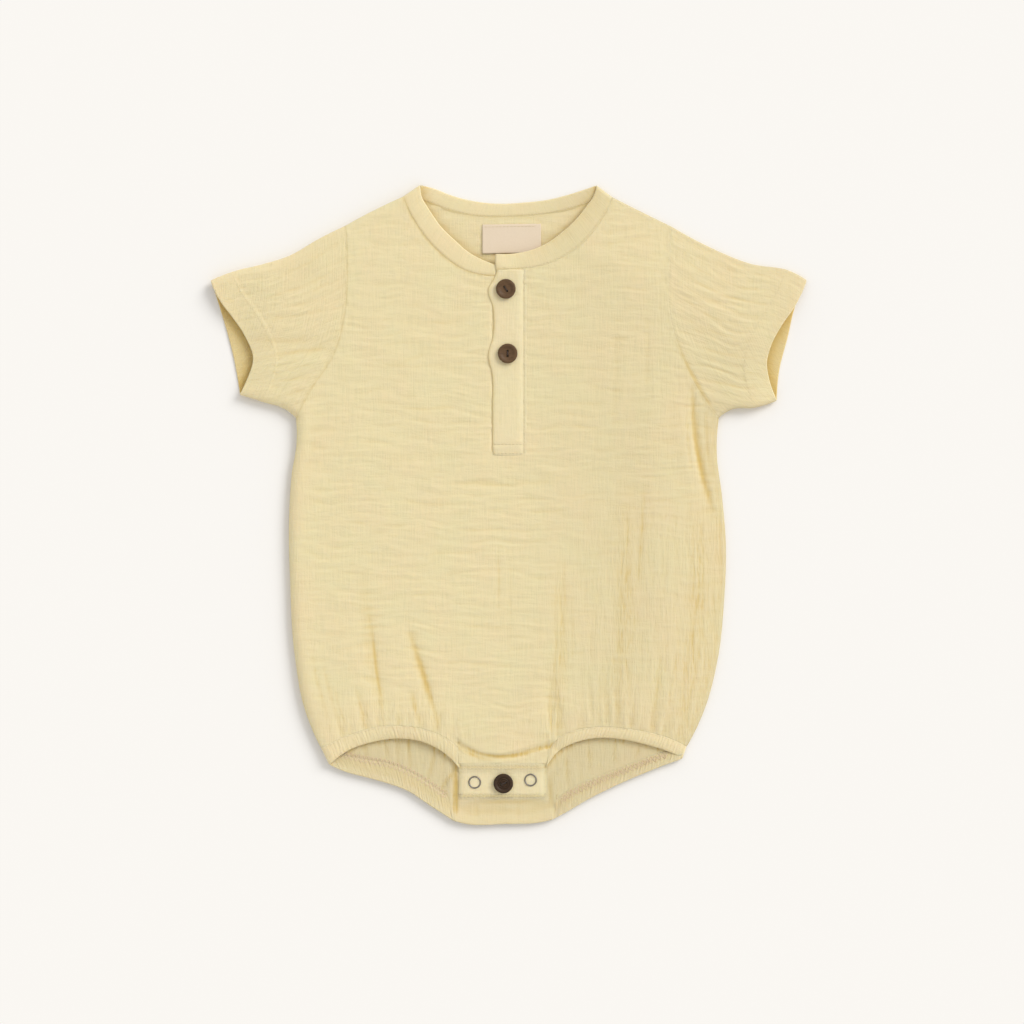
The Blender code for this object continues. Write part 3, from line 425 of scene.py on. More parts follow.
def troughs(plan, rows, lips):  # soft hollows with low lips, deepest at the middle, and the painted shade in them
    share = np.linspace(0, 1, 14)[:, None]
    total = np.zeros(plan.shape[:-1])
    shadeAndPalePaint = np.zeros(plan.shape[:-1])
    x, y = plan[..., 0], plan[..., 1]
    strength = np.sin(math.pi * (0.02 + 0.90 * share[:, 0])) ** 0.9
    for start, by, end, half, depth, paintedShadeAndPale in rows:
        line = (1 - share) ** 2 * start + 2 * share * (1 - share) * by + share**2 * end
        reach = 4 * half
        low, high = line.min(axis=0) - reach, line.max(axis=0) + reach
        inside = (x > low[0]) & (x < high[0]) & (y > low[1]) & (y < high[1])
        near = plan[inside]
        runs = np.diff(line, axis=0)
        along = np.clip(((near[:, None] - line[:-1]) * runs).sum(axis=2) / (runs**2).sum(axis=1), 0, 1)
        foot = line[:-1] + along[..., None] * runs
        away = np.linalg.norm(near[:, None] - foot, axis=2)
        best = away.argmin(axis=1)
        pick = np.arange(len(near))
        away = away[pick, best] / half
        here = strength[best] + along[pick, best] * (strength[best + 1] - strength[best])
        total[inside] += depth * here * (np.exp(-(away**2)) - lips * np.exp(-((away - 2.0) ** 2)))
        shadeAndPalePaint[inside] = np.maximum(shadeAndPalePaint[inside], paintedShadeAndPale * here**1.3 * np.exp(-((away / 0.8) ** 2)))
    return total, shadeAndPalePaint


def edgeValue(key, plan):
    onLeft, onRight, belowSleeve = edges[key]
    x, y = plan[..., 0], plan[..., 1]
    value = onLeft + (onRight - onLeft) * smoothStep((x + 40) / 120)
    return value + (belowSleeve - value) * np.exp(-(((x - 145) / 20) ** 2) - ((y - 56) / 13) ** 2)


def layHeight(plan, away):  # top of the front layer; away is the distance from a closed edge
    x, y = plan[..., 0], plan[..., 1]
    rows = np.array(loft[::-1])
    high = np.interp(y, rows[:, 0], rows[:, 1])
    for press in presses:
        off = ((x - press["x"]) / press["reachX"]) ** 2 + ((y - press["y"]) / press["reachY"]) ** 2
        high = high - (high - lay["pressed"]) * press["share"] * np.exp(-off)
    tuck = np.array(bellyTuck)
    above = smoothStep((y - np.interp(x, tuck[:, 0], tuck[:, 1])) / lay["tuckLength"])
    middle = smoothStep((tuck[-1, 0] - x) / 6) * smoothStep((x - tuck[0, 0]) / 6)
    high = high * (1 - middle) + (lay["tucked"] + (high - lay["tucked"]) * above) * middle
    rim = np.minimum(edgeValue("rim", plan), high)
    closeBy = np.clip(away / edgeValue("round", plan), 0, 1)
    swell = 1 - (1 - closeBy) ** edgeValue("power", plan)
    wide, wideShadePaint = troughs(plan, folds, 0.3)
    fine, fineShadePaint = troughs(plan, creases, 0.25)
    clear = smoothStep(away / 7)
    return rim + (high - rim) * swell - wide * clear - fine * clear**0.5, np.maximum(wideShadePaint, fineShadePaint)


def closedEdge(plan, away):  # height of the turn, and 0 on it to 1 where the cloth is clear of it
    roll = np.sqrt(1 - (1 - np.clip(away / edgeValue("roll", plan), 0, 1)) ** 2)
    return edgeValue("meet", plan), roll


def gauzeRelief(s, t, turn, seed):  # crinkles of the double gauze, lying where turn is 0 and standing where 1
    wander = 2.6 * softNoise(s / 24, t / 16, seed + 1)
    lying = softNoise(s / 22, (t + wander) / 3.6, seed + 2) + 0.6 * softNoise(s / 12, (t + wander) / 2.0, seed + 3)
    wander = 2.2 * softNoise(s / 17, t / 40, seed + 4)
    standing = softNoise((s + wander) / 3.2, t / 30, seed + 5) + 0.7 * softNoise((s + wander) / 1.9, t / 16, seed + 6)
    puff = softNoise(s / 30, t / 22, seed + 7)
    return (1 - turn) * 0.31 * lying + turn * (0.13 * standing + 0.13 * lying) + 0.15 * puff


def blurred(field, reach):  # mean over a square of the grid, for telling hollows from crowns
    for axis in (0, 1):
        padded = np.concatenate(
            [field.take([0] * reach, axis), field, field.take([-1] * reach, axis)], axis
        )
        total = np.cumsum(np.insert(padded, 0, 0, axis), axis)
        count = 2 * reach + 1
        high = total.take(range(count, total.shape[axis]), axis)
        low = total.take(range(0, total.shape[axis] - count), axis)
        field = (high - low) / count
    return field


def lowest(field, reach):  # least value near each point of the grid
    for axis in (0, 1):
        last = field.shape[axis] - 1
        steps = [np.clip(np.arange(last + 1) + step, 0, last) for step in range(-reach, reach + 1)]
        field = np.minimum.reduce([field.take(places, axis) for places in steps])
    return field


# ---- making meshes ----


def withHeight(plan, z):
    return np.concatenate([plan, np.broadcast_to(z, plan.shape[:-1])[..., None]], axis=-1)


def clothShell(name, outer, under, weave, shadeAndPalePaint=None, paintedDarkening=None, skip=1, rolled=False, bulge=0.3):
    # outer and under are grids of points. The under side keeps every skip-th line of the grid.
    nu, nv = outer.shape[:2]
    columns = np.unique(np.append(np.arange(0, nu, skip), nu - 1))
    rows = np.unique(np.append(np.arange(0, nv, skip), nv - 1))
    if rolled:
        border = [[(i, 0) for i in range(nu)], [(i, nv - 1) for i in range(nu - 1, -1, -1)]]
    else:
        border = [
            [(i, 0) for i in range(nu)]
            + [(nu - 1, j) for j in range(1, nv)]
            + [(i, nv - 1) for i in range(nu - 2, -1, -1)]
            + [(0, j) for j in range(nv - 2, 0, -1)]
        ]
    number = np.arange(nu * nv).reshape(nu, nv)
    points = [outer.reshape(-1, 3)]
    source = [(i, j) for i in range(nu) for j in range(nv)]
    wrap = np.arange(nu if rolled else nu - 1)
    nextOne = (wrap + 1) % nu
    quads = np.stack(
        [number[wrap, :-1], number[nextOne, :-1], number[nextOne, 1:], number[wrap, 1:]], axis=-1
    )
    faces = quads.reshape(-1, 4).tolist()
    lower = np.full((nu, nv), -1)
    count = nu * nv
    for loop in border:
        at = np.array(loop)
        inward = at.copy()
        inward[:, 1] = np.clip(inward[:, 1], 1, nv - 2)
        if not rolled:
            inward[:, 0] = np.clip(inward[:, 0], 1, nu - 2)
        upperPoint = outer[at[:, 0], at[:, 1]]
        lowerPoint = under[at[:, 0], at[:, 1]]
        outward = upperPoint - outer[inward[:, 0], inward[:, 1]]
        outward /= np.maximum(np.linalg.norm(outward, axis=1), 1e-6)[:, None]
        depth = np.linalg.norm(upperPoint - lowerPoint, axis=1)[:, None]
        points += [(upperPoint + lowerPoint) / 2 + bulge * depth * outward, lowerPoint]
        source += loop + loop
        size = len(loop)
        rings = [number[at[:, 0], at[:, 1]], count + np.arange(size), count + size + np.arange(size)]
        for high, low in zip(rings[:-1], rings[1:]):
            faces += np.stack([high, low, np.roll(low, -1), np.roll(high, -1)], axis=1).tolist()
        lower[at[:, 0], at[:, 1]] = rings[2]
        count += 2 * size
    inner = [(i, j) for i in columns for j in rows if lower[i, j] < 0]
    points.append(np.array([under[i, j] for i, j in inner]).reshape(-1, 3))
    source += inner
    for place in inner:
        lower[place] = count
        count += 1
    pairs = list(zip(columns[:-1], columns[1:])) + ([(nu - 1, 0)] if rolled else [])
    for left, right in pairs:
        for low, high in zip(rows[:-1], rows[1:]):
            acrossLow = range(left, right) if low == 0 and right > left else [left]
            upRight = range(low, high) if right == nu - 1 and not rolled else [low]
            acrossHigh = range(right, left, -1) if high == nv - 1 and right > left else [right]
            upLeft = range(high, low, -1) if left == 0 and not rolled else [high]
            path = (
                [lower[i, low] for i in acrossLow]
                + [lower[right, j] for j in upRight]
                + [lower[i, high] for i in acrossHigh]
                + [lower[left, j] for j in upLeft]
            )
            faces.append(path[::-1])
    mesh = bpy.data.meshes.new(name)
    mesh.from_pydata((np.concatenate(points) * mm).tolist(), [], faces)
    tidyMesh = bmesh.new()
    tidyMesh.from_mesh(mesh)
    bmesh.ops.recalc_face_normals(tidyMesh, faces=tidyMesh.faces)
    tidyMesh.to_mesh(mesh)
    tidyMesh.free()
    mesh.shade_smooth()
    source = np.array(source)
    grain = mesh.attributes.new("weave", "FLOAT_VECTOR", "POINT")
    grain.data.foreach_set("vector", weave[source[:, 0], source[:, 1]].astype(np.float32).ravel())
    # how far a point lies below its neighbours; the material paints shade there
    hollow = np.clip((blurred(outer[..., 2], 4) - outer[..., 2]) / 0.35, -1, 1)
    for label, values in (("hollow", hollow), ("paintedShadeAndPale", shadeAndPalePaint), ("paintedDarkening", paintedDarkening)):
        if values is not None:
            shade = mesh.attributes.new(label, "FLOAT", "POINT")
            shade.data.foreach_set("value", values[source[:, 0], source[:, 1]].astype(np.float32))
    return mesh


def addPiece(name, mesh, finish, slot, *nodes):
    piece = bpy.data.objects.new(name, mesh)
    bpy.context.scene.collection.objects.link(piece)
    mesh.materials.append(finish)
    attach(piece, "root")
    if nodes:
        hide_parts(*nodes)
    return piece


def grain(s, t, turn):
    return np.stack(np.broadcast_arrays(s, t, turn), axis=-1)


# ---- materials ----


def newMaterial(name):
    made = bpy.data.materials.new(name)
    made.use_nodes = True
    nodes = made.node_tree.nodes
    nodes.clear()
    output = nodes.new("ShaderNodeOutputMaterial")
    shader = nodes.new("ShaderNodeBsdfPrincipled")
    made.node_tree.links.new(shader.outputs["BSDF"], output.inputs["Surface"])
    return made, nodes, made.node_tree.links, shader


def mathNode(nodes, links, operation, first, second, third=None):
    node = nodes.new("ShaderNodeMath")
    node.operation = operation
    for socket, value in zip(node.inputs, (first, second, third)):
        if isinstance(value, bpy.types.NodeSocket):
            links.new(value, socket)
        elif value is not None:
            socket.default_value = value
    return node.outputs[0]


def noiseNode(nodes, links, vector, scale, detail, rough=0.5):
    node = nodes.new("ShaderNodeTexNoise")
    links.new(vector, node.inputs["Vector"])
    node.inputs["Scale"].default_value = scale
    node.inputs["Detail"].default_value = detail
    node.inputs["Roughness"].default_value = rough
    return node.outputs["Fac"]


def stretched(nodes, links, s, t, acrossMm, upMm, shift):  # coordinates in which a mark is that wide and high
    node = nodes.new("ShaderNodeCombineXYZ")
    links.new(mathNode(nodes, links, "MULTIPLY_ADD", s, 1 / acrossMm, shift), node.inputs[0])
    links.new(mathNode(nodes, links, "MULTIPLY_ADD", t, 1 / upMm, shift * 0.7), node.inputs[1])
    node.inputs[2].default_value = shift
    return node.outputs[0]


def mixColour(nodes, links, share, first, second):
    node = nodes.new("ShaderNodeMix")
    node.data_type = "RGBA"
    links.new(share, node.inputs["Factor"])
    for socket, value in ((node.inputs["A"], first), (node.inputs["B"], second)):
        if isinstance(value, bpy.types.NodeSocket):
            links.new(value, socket)
        else:
            socket.default_value = (*value, 1)
    return node.outputs["Result"]


gauze = {
    "green": (0.782, 0.676, 0.406),
    "peach": (0.796, 0.664, 0.402),
    "pale": (0.860, 0.790, 0.600),
    "shade": (0.690, 0.600, 0.355),  # darker between the threads, and painted shade in the crinkle hollows
    "paintedShadeColour": (0.690, 0.500, 0.180),  # painted shade colour for creases, seams and hollows
    "roughness": 0.92,
    "sheen": 0.25,
    "letsThrough": 0.45,
    "depthOfLight": 0.0014,
    "crinkleDepth": 0.00036,
    "threadDepth": 0.00009,
}


def gauzeMaterial(name, crinkle, thread=1.0):
    made, nodes, links, shader = newMaterial(name)
    weave = nodes.new("ShaderNodeAttribute")
    weave.attribute_name = "weave"
    split = nodes.new("ShaderNodeSeparateXYZ")
    links.new(weave.outputs["Vector"], split.inputs[0])
    s, t, turn = split.outputs
    hollow = nodes.new("ShaderNodeAttribute")
    hollow.attribute_name = "hollow"
    paintedShadeAndPale = nodes.new("ShaderNodeAttribute")
    paintedShadeAndPale.attribute_name = "paintedShadeAndPale"
    paintedDarkening = nodes.new("ShaderNodeAttribute")
    paintedDarkening.attribute_name = "paintedDarkening"
    # crinkles
    lying = noiseNode(nodes, links, stretched(nodes, links, s, t, 8.0, 1.9, 3.0), 1.0, 2.0, 0.6)
    standing = noiseNode(nodes, links, stretched(nodes, links, s, t, 1.8, 13.0, 7.0), 1.0, 2.0, 0.6)
    lying = mathNode(nodes, links, "MULTIPLY", lying, 0.75)
    strong = mathNode(nodes, links, "MULTIPLY_ADD", mathNode(nodes, links, "MINIMUM", paintedShadeAndPale.outputs["Fac"], 0.4), 2.5, 1.3)
    both = mathNode(nodes, links, "MULTIPLY_ADD", lying, -0.15, mathNode(nodes, links, "MULTIPLY", standing, strong))
    ripples = mathNode(nodes, links, "MULTIPLY_ADD", both, turn, lying)
    # threads
    warp = noiseNode(nodes, links, stretched(nodes, links, s, t, 0.75, 14.0, 11.0), 1.0, 1.0)
    weft = noiseNode(nodes, links, stretched(nodes, links, s, t, 14.0, 0.75, 17.0), 1.0, 1.0)
    slub = noiseNode(nodes, links, stretched(nodes, links, s, t, 1.1, 1.1, 23.0), 1.0, 2.0, 0.7)
    threads = mathNode(nodes, links, "MULTIPLY_ADD", warp, 1.7, slub)
    threads = mathNode(nodes, links, "MULTIPLY_ADD", weft, 0.4, threads)
    crinkleBump = nodes.new("ShaderNodeBump")
    crinkleBump.inputs["Strength"].default_value = crinkle
    crinkleBump.inputs["Distance"].default_value = gauze["crinkleDepth"]
    links.new(ripples, crinkleBump.inputs["Height"])
    threadBump = nodes.new("ShaderNodeBump")
    threadBump.inputs["Strength"].default_value = thread
    threadBump.inputs["Distance"].default_value = gauze["threadDepth"]
    links.new(threads, threadBump.inputs["Height"])
    links.new(crinkleBump.outputs["Normal"], threadBump.inputs["Normal"])
    links.new(threadBump.outputs["Normal"], shader.inputs["Normal"])
    # colour: faintly greener and peachier patches, darker between threads, painted shade in crinkle hollows, creases
    # and seams, paler where marked, and painted darkening
    patches = noiseNode(nodes, links, stretched(nodes, links, s, t, 22.0, 34.0, 5.0), 1.0, 2.0)
    towards = mathNode(nodes, links, "MULTIPLY_ADD", patches, 3.0, -1.0)
    towards.node.use_clamp = True
    tone = mixColour(nodes, links, towards, gauze["green"], gauze["peach"])
    # darker between the threads, plus painted shade where the crinkles dip
    threadGapsAndPaintedShade = mathNode(nodes, links, "MULTIPLY_ADD", threads, 0.7, -1.05)
    threadGapsAndPaintedShade = mathNode(nodes, links, "MULTIPLY_ADD", ripples, -0.5, mathNode(nodes, links, "ADD", threadGapsAndPaintedShade, 0.25))
    threadGapsAndPaintedShade.node.use_clamp = True
    tone = mixColour(nodes, links, threadGapsAndPaintedShade, tone, gauze["shade"])
    # painted shade: orange in geometric hollows, where the attribute marks creases, seams and shadowed places, along
    # the valleys of upright crinkles, and a little more where crinkles stand
    dips = mathNode(nodes, links, "MULTIPLY_ADD", hollow.outputs["Fac"], 0.22, -0.02)
    valley = mathNode(nodes, links, "MULTIPLY_ADD", standing, -5.0, 2.6)
    valley.node.use_clamp = True
    valley = mathNode(nodes, links, "MULTIPLY_ADD", valley, 1.3, -0.6)
    lines = mathNode(nodes, links, "MULTIPLY_ADD", mathNode(nodes, links, "MULTIPLY", valley, turn), 0.75, 0.75)
    dips = mathNode(nodes, links, "MULTIPLY_ADD", paintedShadeAndPale.outputs["Fac"], lines, dips)
    dips = mathNode(nodes, links, "MULTIPLY_ADD", turn, 0.05, dips)
    dips.node.use_clamp = True
    tone = mixColour(nodes, links, dips, tone, gauze["paintedShadeColour"])
    # paler tone where the attribute is negative
    paler = mathNode(nodes, links, "MULTIPLY", paintedShadeAndPale.outputs["Fac"], -1.0)
    paler.node.use_clamp = True
    tone = mixColour(nodes, links, paler, tone, gauze["pale"])
    # painted darkening: mixes towards black
    tone = mixColour(nodes, links, paintedDarkening.outputs["Fac"], tone, (0.0, 0.0, 0.0))
    links.new(tone, shader.inputs["Base Color"])
    shader.inputs["Roughness"].default_value = gauze["roughness"]
    shader.inputs["Specular IOR Level"].default_value = 0.2
    shader.inputs["Sheen Weight"].default_value = gauze["sheen"]
    shader.inputs["Sheen Roughness"].default_value = 0.5
    shader.inputs["Sheen Tint"].default_value = (1.0, 0.96, 0.84, 1)
    shader.inputs["Subsurface Weight"].default_value = gauze["letsThrough"]
    shader.inputs["Subsurface Radius"].default_value = (1.0, 0.86, 0.60)
    shader.inputs["Subsurface Scale"].default_value = gauze["depthOfLight"]
    return made


clothFinish = gauzeMaterial("crinkled double gauze", 0.85)
sleeveFinish = {
    "sleeve_left": gauzeMaterial("left sleeve double gauze", 1.6, 2.2),
    "sleeve_right": gauzeMaterial("right sleeve double gauze", 1.3, 1.1),
}
stripFinish = gauzeMaterial("double gauze strips", 0.35)
print("materials made")


# ---- front panel ----

frontPanel = {
    "across": ((0, 0.17, 0.34, 0.38, 0.62, 0.66, 0.83, 1), (34, 32, 8, 42, 8, 34, 42)),
    "up": ((0, 0.12, 0.62, 1), (52, 208, 158)),
    "closeEnds": (0.0012, 0.0035, 0.0070),
    "sunk": 1.3,  # under the placket strips
}


def bodySide(side, armhole):
    return chainLines((smoothLine(body[side]), smoothLine(body[armhole])), (0, body["sideShare"], 1))


def standingShare(plan):  # where the crinkles stand upright: the right side, and above the leg casings
    x, y = plan[..., 0], plan[..., 1]
    right = smoothStep((x - 22) / 36) * smoothStep((30 - y) / 60)
    rightTop = 0.45 * smoothStep((x - 60) / 30) * smoothStep((y - 10) / 40)
    legLeft = lineDistance(plan, [sampled(seamOf(legs["leg_casing_left"]["front"]))])
    legRight = lineDistance(plan, [sampled(seamOf(legs["leg_casing_right"]["front"]))])
    low = np.maximum(smoothStep(1.2 - legLeft / 26), smoothStep(1.3 - legRight / 30))
    leftSide = 0.5 * smoothStep((-x - 105) / 18)
    column = 0.8 * np.exp(-(((x - 30) / 9) ** 2)) * smoothStep((-5 - y) / 50)
    return np.clip(np.maximum.reduce([right, rightTop, low, leftSide, column]), 0, 1)


def gatherRelief(plan):  # ridges that run up from each front leg casing and fade out
    total = np.zeros(plan.shape[:-1])
    x, y = plan[..., 0], plan[..., 1]
    for seed, (name, length, lean) in enumerate((("leg_casing_left", 15.0, 0.35), ("leg_casing_right", 26.0, 0.25))):
        seam = np.array(seamOf(legs[name]["front"]))
        seam = seam[np.argsort(seam[:, 0])]
        rise = np.maximum(y - np.interp(x, seam[:, 0], seam[:, 1]), 0)
        middle = seam[:, 0].mean()
        shifted = x - lean * rise * (x - middle) / 50
        ends = smoothStep((x - seam[0, 0] + 8) / 14) * smoothStep((seam[-1, 0] + 8 - x) / 14)
        reach = length * (1 + 0.7 * softNoise(shifted / 9, 0 * y, 40 + seed))
        fade = np.exp(-rise / np.maximum(reach, 4)) * ends
        ridges = softNoise(shifted / 4.2, rise / 50, 50 + seed) + 0.5 * softNoise(shifted / 2.4, rise / 30, 60 + seed)
        total += 0.75 * fade * ridges * (0.4 + 0.6 * smoothStep(rise / 4))
    return total


def cornersCleared(plan, across):  # the columns from the corners beside the tab lean a little inwards
    x = plan[..., 0]
    off = (x - (tab["left"] + tab["right"]) / 2) / (tab["right"] - tab["left"]) * 2
    near = np.exp(-(((np.abs(off) - 1) / 0.35) ** 2)) * smoothStep((0.165 - np.abs(across - 0.5)) / 0.02)[:, None]
    rise = np.clip(plan[..., 1] - plan[:, :1, 1], 0, None)
    moved = plan.copy()
    moved[..., 0] = x - np.sign(off) * near * 0.2 * rise * np.exp(-rise / 14)
    return moved


def seamCalm(toSeam):  # the crinkles die away towards a seam
    return 0.15 + 0.85 * smoothStep(toSeam / 3.5)


def seamPucker(x, y, toSeam):
    return 0.22 * softNoise(x / 3.0, y / 3.0, 90) * np.exp(-toSeam / 5)


# painted shade: darker towards the garment's right side, and most on the rolled rim there
def rightPaintedDarkening(x, away=99.0):
    return 0.045 * smoothStep((x + 10) / 70) * (1 + 3.0 * np.exp(-((away / 1.4) ** 2)))


def buildFrontPanel():
    left = legs["leg_casing_left"]["front"]
    right = legs["leg_casing_right"]["front"]
    tabLeft = (tab["left"], tab["top"])
    tabRight = (tab["right"], tab["top"])
    hem = chainLines(
        (
            smoothLine(seamOf(left)),
            smoothLine([left[-1][:2], tabLeft]),
            smoothLine([tabLeft, tabRight]),
            smoothLine([tabRight, right[-1][:2]]),
            smoothLine(seamOf(right)[::-1]),
        ),
        (0, 0.34, 0.38, 0.62, 0.66, 1),
    )
    neckSeam = smoothLine(seamOf(neck["frontLeft"]) + seamOf(neck["frontRight"])[::-1])

    def neckLine(shares):  # its columns come down clear of the corners beside the tab
        return neckSeam(np.interp(shares, (0, 0.26, 0.32, 0.68, 0.74, 1), (0, 0.37, 0.41, 0.62, 0.66, 1)))

    top = chainLines(
        (smoothLine(body["shoulderLeft"]), neckLine, smoothLine(body["shoulderRight"])), (0, 0.17, 0.83, 1)
    )
    across = spread(*frontPanel["across"], frontPanel["closeEnds"])
    plan = patchBetween(
        hem, top,
        bodySide("sideLeft", "armholeLeft"), bodySide("sideRight", "armholeRight"),
        across, spread(*frontPanel["up"], frontPanel["closeEnds"]),
    )
    plan = cornersCleared(plan, across)
    x, y = plan[..., 0], plan[..., 1]
    away = lineDistance(plan, closedEdges)
    toSeam = lineDistance(plan, frontSeams)
    turn = standingShare(plan)
    calm = smoothStep(away / 6) * 0.6 + 0.4
    z, shadeAndPalePaint = layHeight(plan, away)
    z = z + calm * seamCalm(toSeam) * (gauzeRelief(x, y, turn, 1) + gatherRelief(plan))
    pucker = seamPucker(x, y, toSeam)
    leftShare = smoothStep((50 - x) / 100)
    # painted shade along the seams, stronger on the left, and more towards the right edge; painted darkening to the
    # right and on the rim
    shadeAndPalePaint = np.maximum(shadeAndPalePaint, (0.08 + 0.40 * leftShare) * np.exp(-((toSeam / 1.0) ** 2)))
    rightEdge = smoothStep((x - 30) / 60) * smoothStep((90 - y) / 60)
    shadeAndPalePaint = shadeAndPalePaint + (0.05 + 0.25 * np.exp(-((away / 9) ** 2))) * rightEdge
    paintedDarkening = rightPaintedDarkening(x, away) + 0.02 * rightEdge
    z = z + pucker - lay["seamDip"] * (1.3 * leftShare - 0.3) * np.exp(-((toSeam / lay["seamWidth"]) ** 2))
    hidden = smoothStep((x - placket["underLeft"] - 1.5) / 3) * smoothStep((placket["right"] - 1.0 - x) / 3)
    z = z - frontPanel["sunk"] * hidden * smoothStep((y - placket["bottom"] - 1) / 3)
    meet, roll = closedEdge(plan, away)
    outer = withHeight(plan, meet + (z - meet) * roll)
    below = lowest(z, 4) - 0.7 * body["cloth"]
    under = withHeight(plan, meet - 0.06 + (below - meet + 0.06) * roll)
    mesh = clothShell("front_panel_cloth", outer, under, grain(x, y, turn), shadeAndPalePaint, paintedDarkening, skip=5)
    return addPiece("front_panel_cloth", mesh, clothFinish, "gauze", "front_panel")


# ---- back panel ----

backPanel = {
    "across": ((0, 0.17, 0.36, 0.39, 0.61, 0.64, 0.83, 1), (22, 30, 4, 40, 4, 30, 22)),
    "up": ((0, 0.1, 0.3, 0.8, 1), (24, 44, 40, 50)),
    "closeEnds": (0.0015, 0.0045, 0.0090),
    "floorRelief": 0.12,
    "curl": 2.9,  # how far the crotch end turns up from the floor
}
backCreases = [  # in the cloth seen through the leg openings; a negative depth is a ridge
    ((-60.0, -138.0), (-59.7, -148.0), (-59.2, -158.0), 1.2, 0.40, 0.60),
    ((64.5, -141.0), (63.0, -149.0), (64.5, -156.0), 1.1, 0.40, 0.50),
    ((-88.0, -142.0), (-86.0, -148.0), (-85.0, -153.0), 1.4, 0.30, 0.30),
    ((-74.0, -138.0), (-73.0, -147.0), (-72.5, -155.0), 1.2, 0.30, 0.35),
    ((-67.0, -140.0), (-66.0, -148.0), (-66.5, -156.0), 1.2, 0.25, 0.30),
    ((-44.0, -146.0), (-45.0, -155.0), (-48.0, -165.0), 1.3, 0.30, 0.35),
    ((80.0, -142.0), (78.0, -148.0), (77.0, -154.0), 1.2, 0.30, 0.30),
    ((48.0, -142.0), (49.0, -152.0), (50.0, -162.0), 1.3, 0.25, 0.35),
    ((34.0, -150.0), (35.0, -160.0), (37.0, -170.0), 1.4, 0.25, 0.35),
    ((-41.5, -172.0), (-36.0, -166.0), (-31.5, -158.5), 1.3, 0.35, 0.90),
    ((-32.6, -155.0), (-31.4, -168.0), (-31.8, -190.0), 1.6, 0.50, 1.90),
    ((-35.6, -160.0), (-35.0, -170.0), (-35.0, -182.0), 2.0, -0.25, 0.0),
    ((25.0, -162.0), (25.2, -170.0), (25.5, -182.0), 1.5, 0.40, 0.40),
    ((-26.0, -179.5), (-4.0, -179.3), (20.0, -179.0), 1.5, 0.25, 0.40),
    ((-20.0, -180.0), (-19.0, -185.0), (-19.0, -191.0), 1.3, 0.20, 0.15),
    ((6.0, -180.0), (5.5, -186.0), (6.0, -191.0), 1.3, 0.20, 0.15),
]


def backSurface(plan, seed):  # top of the back layer, which is the garment's inside
    x, y = plan[..., 0], plan[..., 1]
    low = 1 - smoothStep((y + 130) / 25)
    turn = np.clip(low * smoothStep((np.abs(x + 3.5) - 24) / 8), 0, 1)
    dips, shadeAndPalePaint = troughs(plan, backCreases, 0.4)
    relief = 0.55 * gauzeRelief(x, y, turn, seed) - dips
    return body["cloth"] + 0.35 + relief, turn, shadeAndPalePaint


def buildBackPanel():
    left = legs["leg_casing_left"]["back"]
    right = legs["leg_casing_right"]["back"]
    crotchEnd = body["crotchEnd"]
    hem = chainLines(
        (
            smoothLine(seamOf(left)),
            smoothLine([left[-1][:2], crotchEnd[0]]),
            smoothLine(crotchEnd),
            smoothLine([crotchEnd[-1], right[-1][:2]]),
            smoothLine(seamOf(right)[::-1]),
        ),
        (0, 0.36, 0.39, 0.61, 0.64, 1),
    )
    top = chainLines(
        (smoothLine(body["shoulderLeft"]), smoothLine(seamOf(neck["back"])), smoothLine(body["shoulderRight"])),
        (0, 0.17, 0.83, 1),
    )
    plan = patchBetween(
        hem, top,
        bodySide("sideLeft", "armholeLeft"), bodySide("sideRight", "armholeRight"),
        spread(*backPanel["across"], backPanel["closeEnds"]),
        spread(*backPanel["up"], backPanel["closeEnds"]),
    )
    x, y = plan[..., 0], plan[..., 1]
    away = lineDistance(plan, closedEdges)
    toSeam = lineDistance(plan, backSeams)
    z, turn, shadeAndPalePaint = backSurface(plan, 21)
    shade = lineDistance(plan, [sampled(edgeOf(legs[name]["front"])) for name in legs])
    shadeNeck = lineDistance(plan, [sampled(edgeOf(neck[key])) for key in ("frontLeft", "frontRight")])
    # painted shadow of the front leg hems and front neckband on the back layer, and painted shade along the back neck
    # seam
    shadeAndPalePaint = shadeAndPalePaint + 0.80 * np.exp(-((shade / 2.6) ** 2)) + 0.55 * np.exp(-((shadeNeck / 3.5) ** 2))
    z = z - 0.05 * np.exp(-((toSeam / lay["seamWidth"]) ** 2))
    shadeAndPalePaint = shadeAndPalePaint + 0.35 * np.exp(-((toSeam / 1.2) ** 2)) * (y > 100)
    toEnd = lineDistance(plan, [sampled(crotchEnd)])
    ended = backPanel["curl"] * np.exp(-((toEnd / 5) ** 2))
    z = z + ended
    inLeg = smoothStep((-120 - y) / 15)
    # painted darkening of the back layer inside the leg openings, less where the painted shadow lies under the front
    # hems
    paintedDarkening = (0.10 + 0.04 * smoothStep((y + 184) / 6)) * inLeg * (1 - np.exp(-((shade / 4) ** 2)))
    floor = backPanel["floorRelief"] * (1 + softNoise(x / 12, y / 3.5, 25)) * smoothStep(away / 3) + ended
    meet, roll = closedEdge(plan, away)
    meet = meet - 0.1
    outer = withHeight(plan, meet + (z - meet) * roll)
    under = withHeight(plan, meet - 0.06 + (np.minimum(floor, z - 0.5) - meet + 0.06) * roll)
    mesh = clothShell("back_panel_cloth", outer, under, grain(x, y, turn), shadeAndPalePaint, paintedDarkening, skip=2)
    return addPiece("back_panel_cloth", mesh, clothFinish, "gauze", "back_panel")


# ---- sleeves ----

sleeveCut = {
    "columns": 120,
    "underColumns": 48,
    "rows": 96,
    "hemDepth": 15.0,
    "hemStep": {"sleeve_left": 0.35, "sleeve_right": 0.12},
    "wall": 1.0,
    "runIn": 1.0,
}


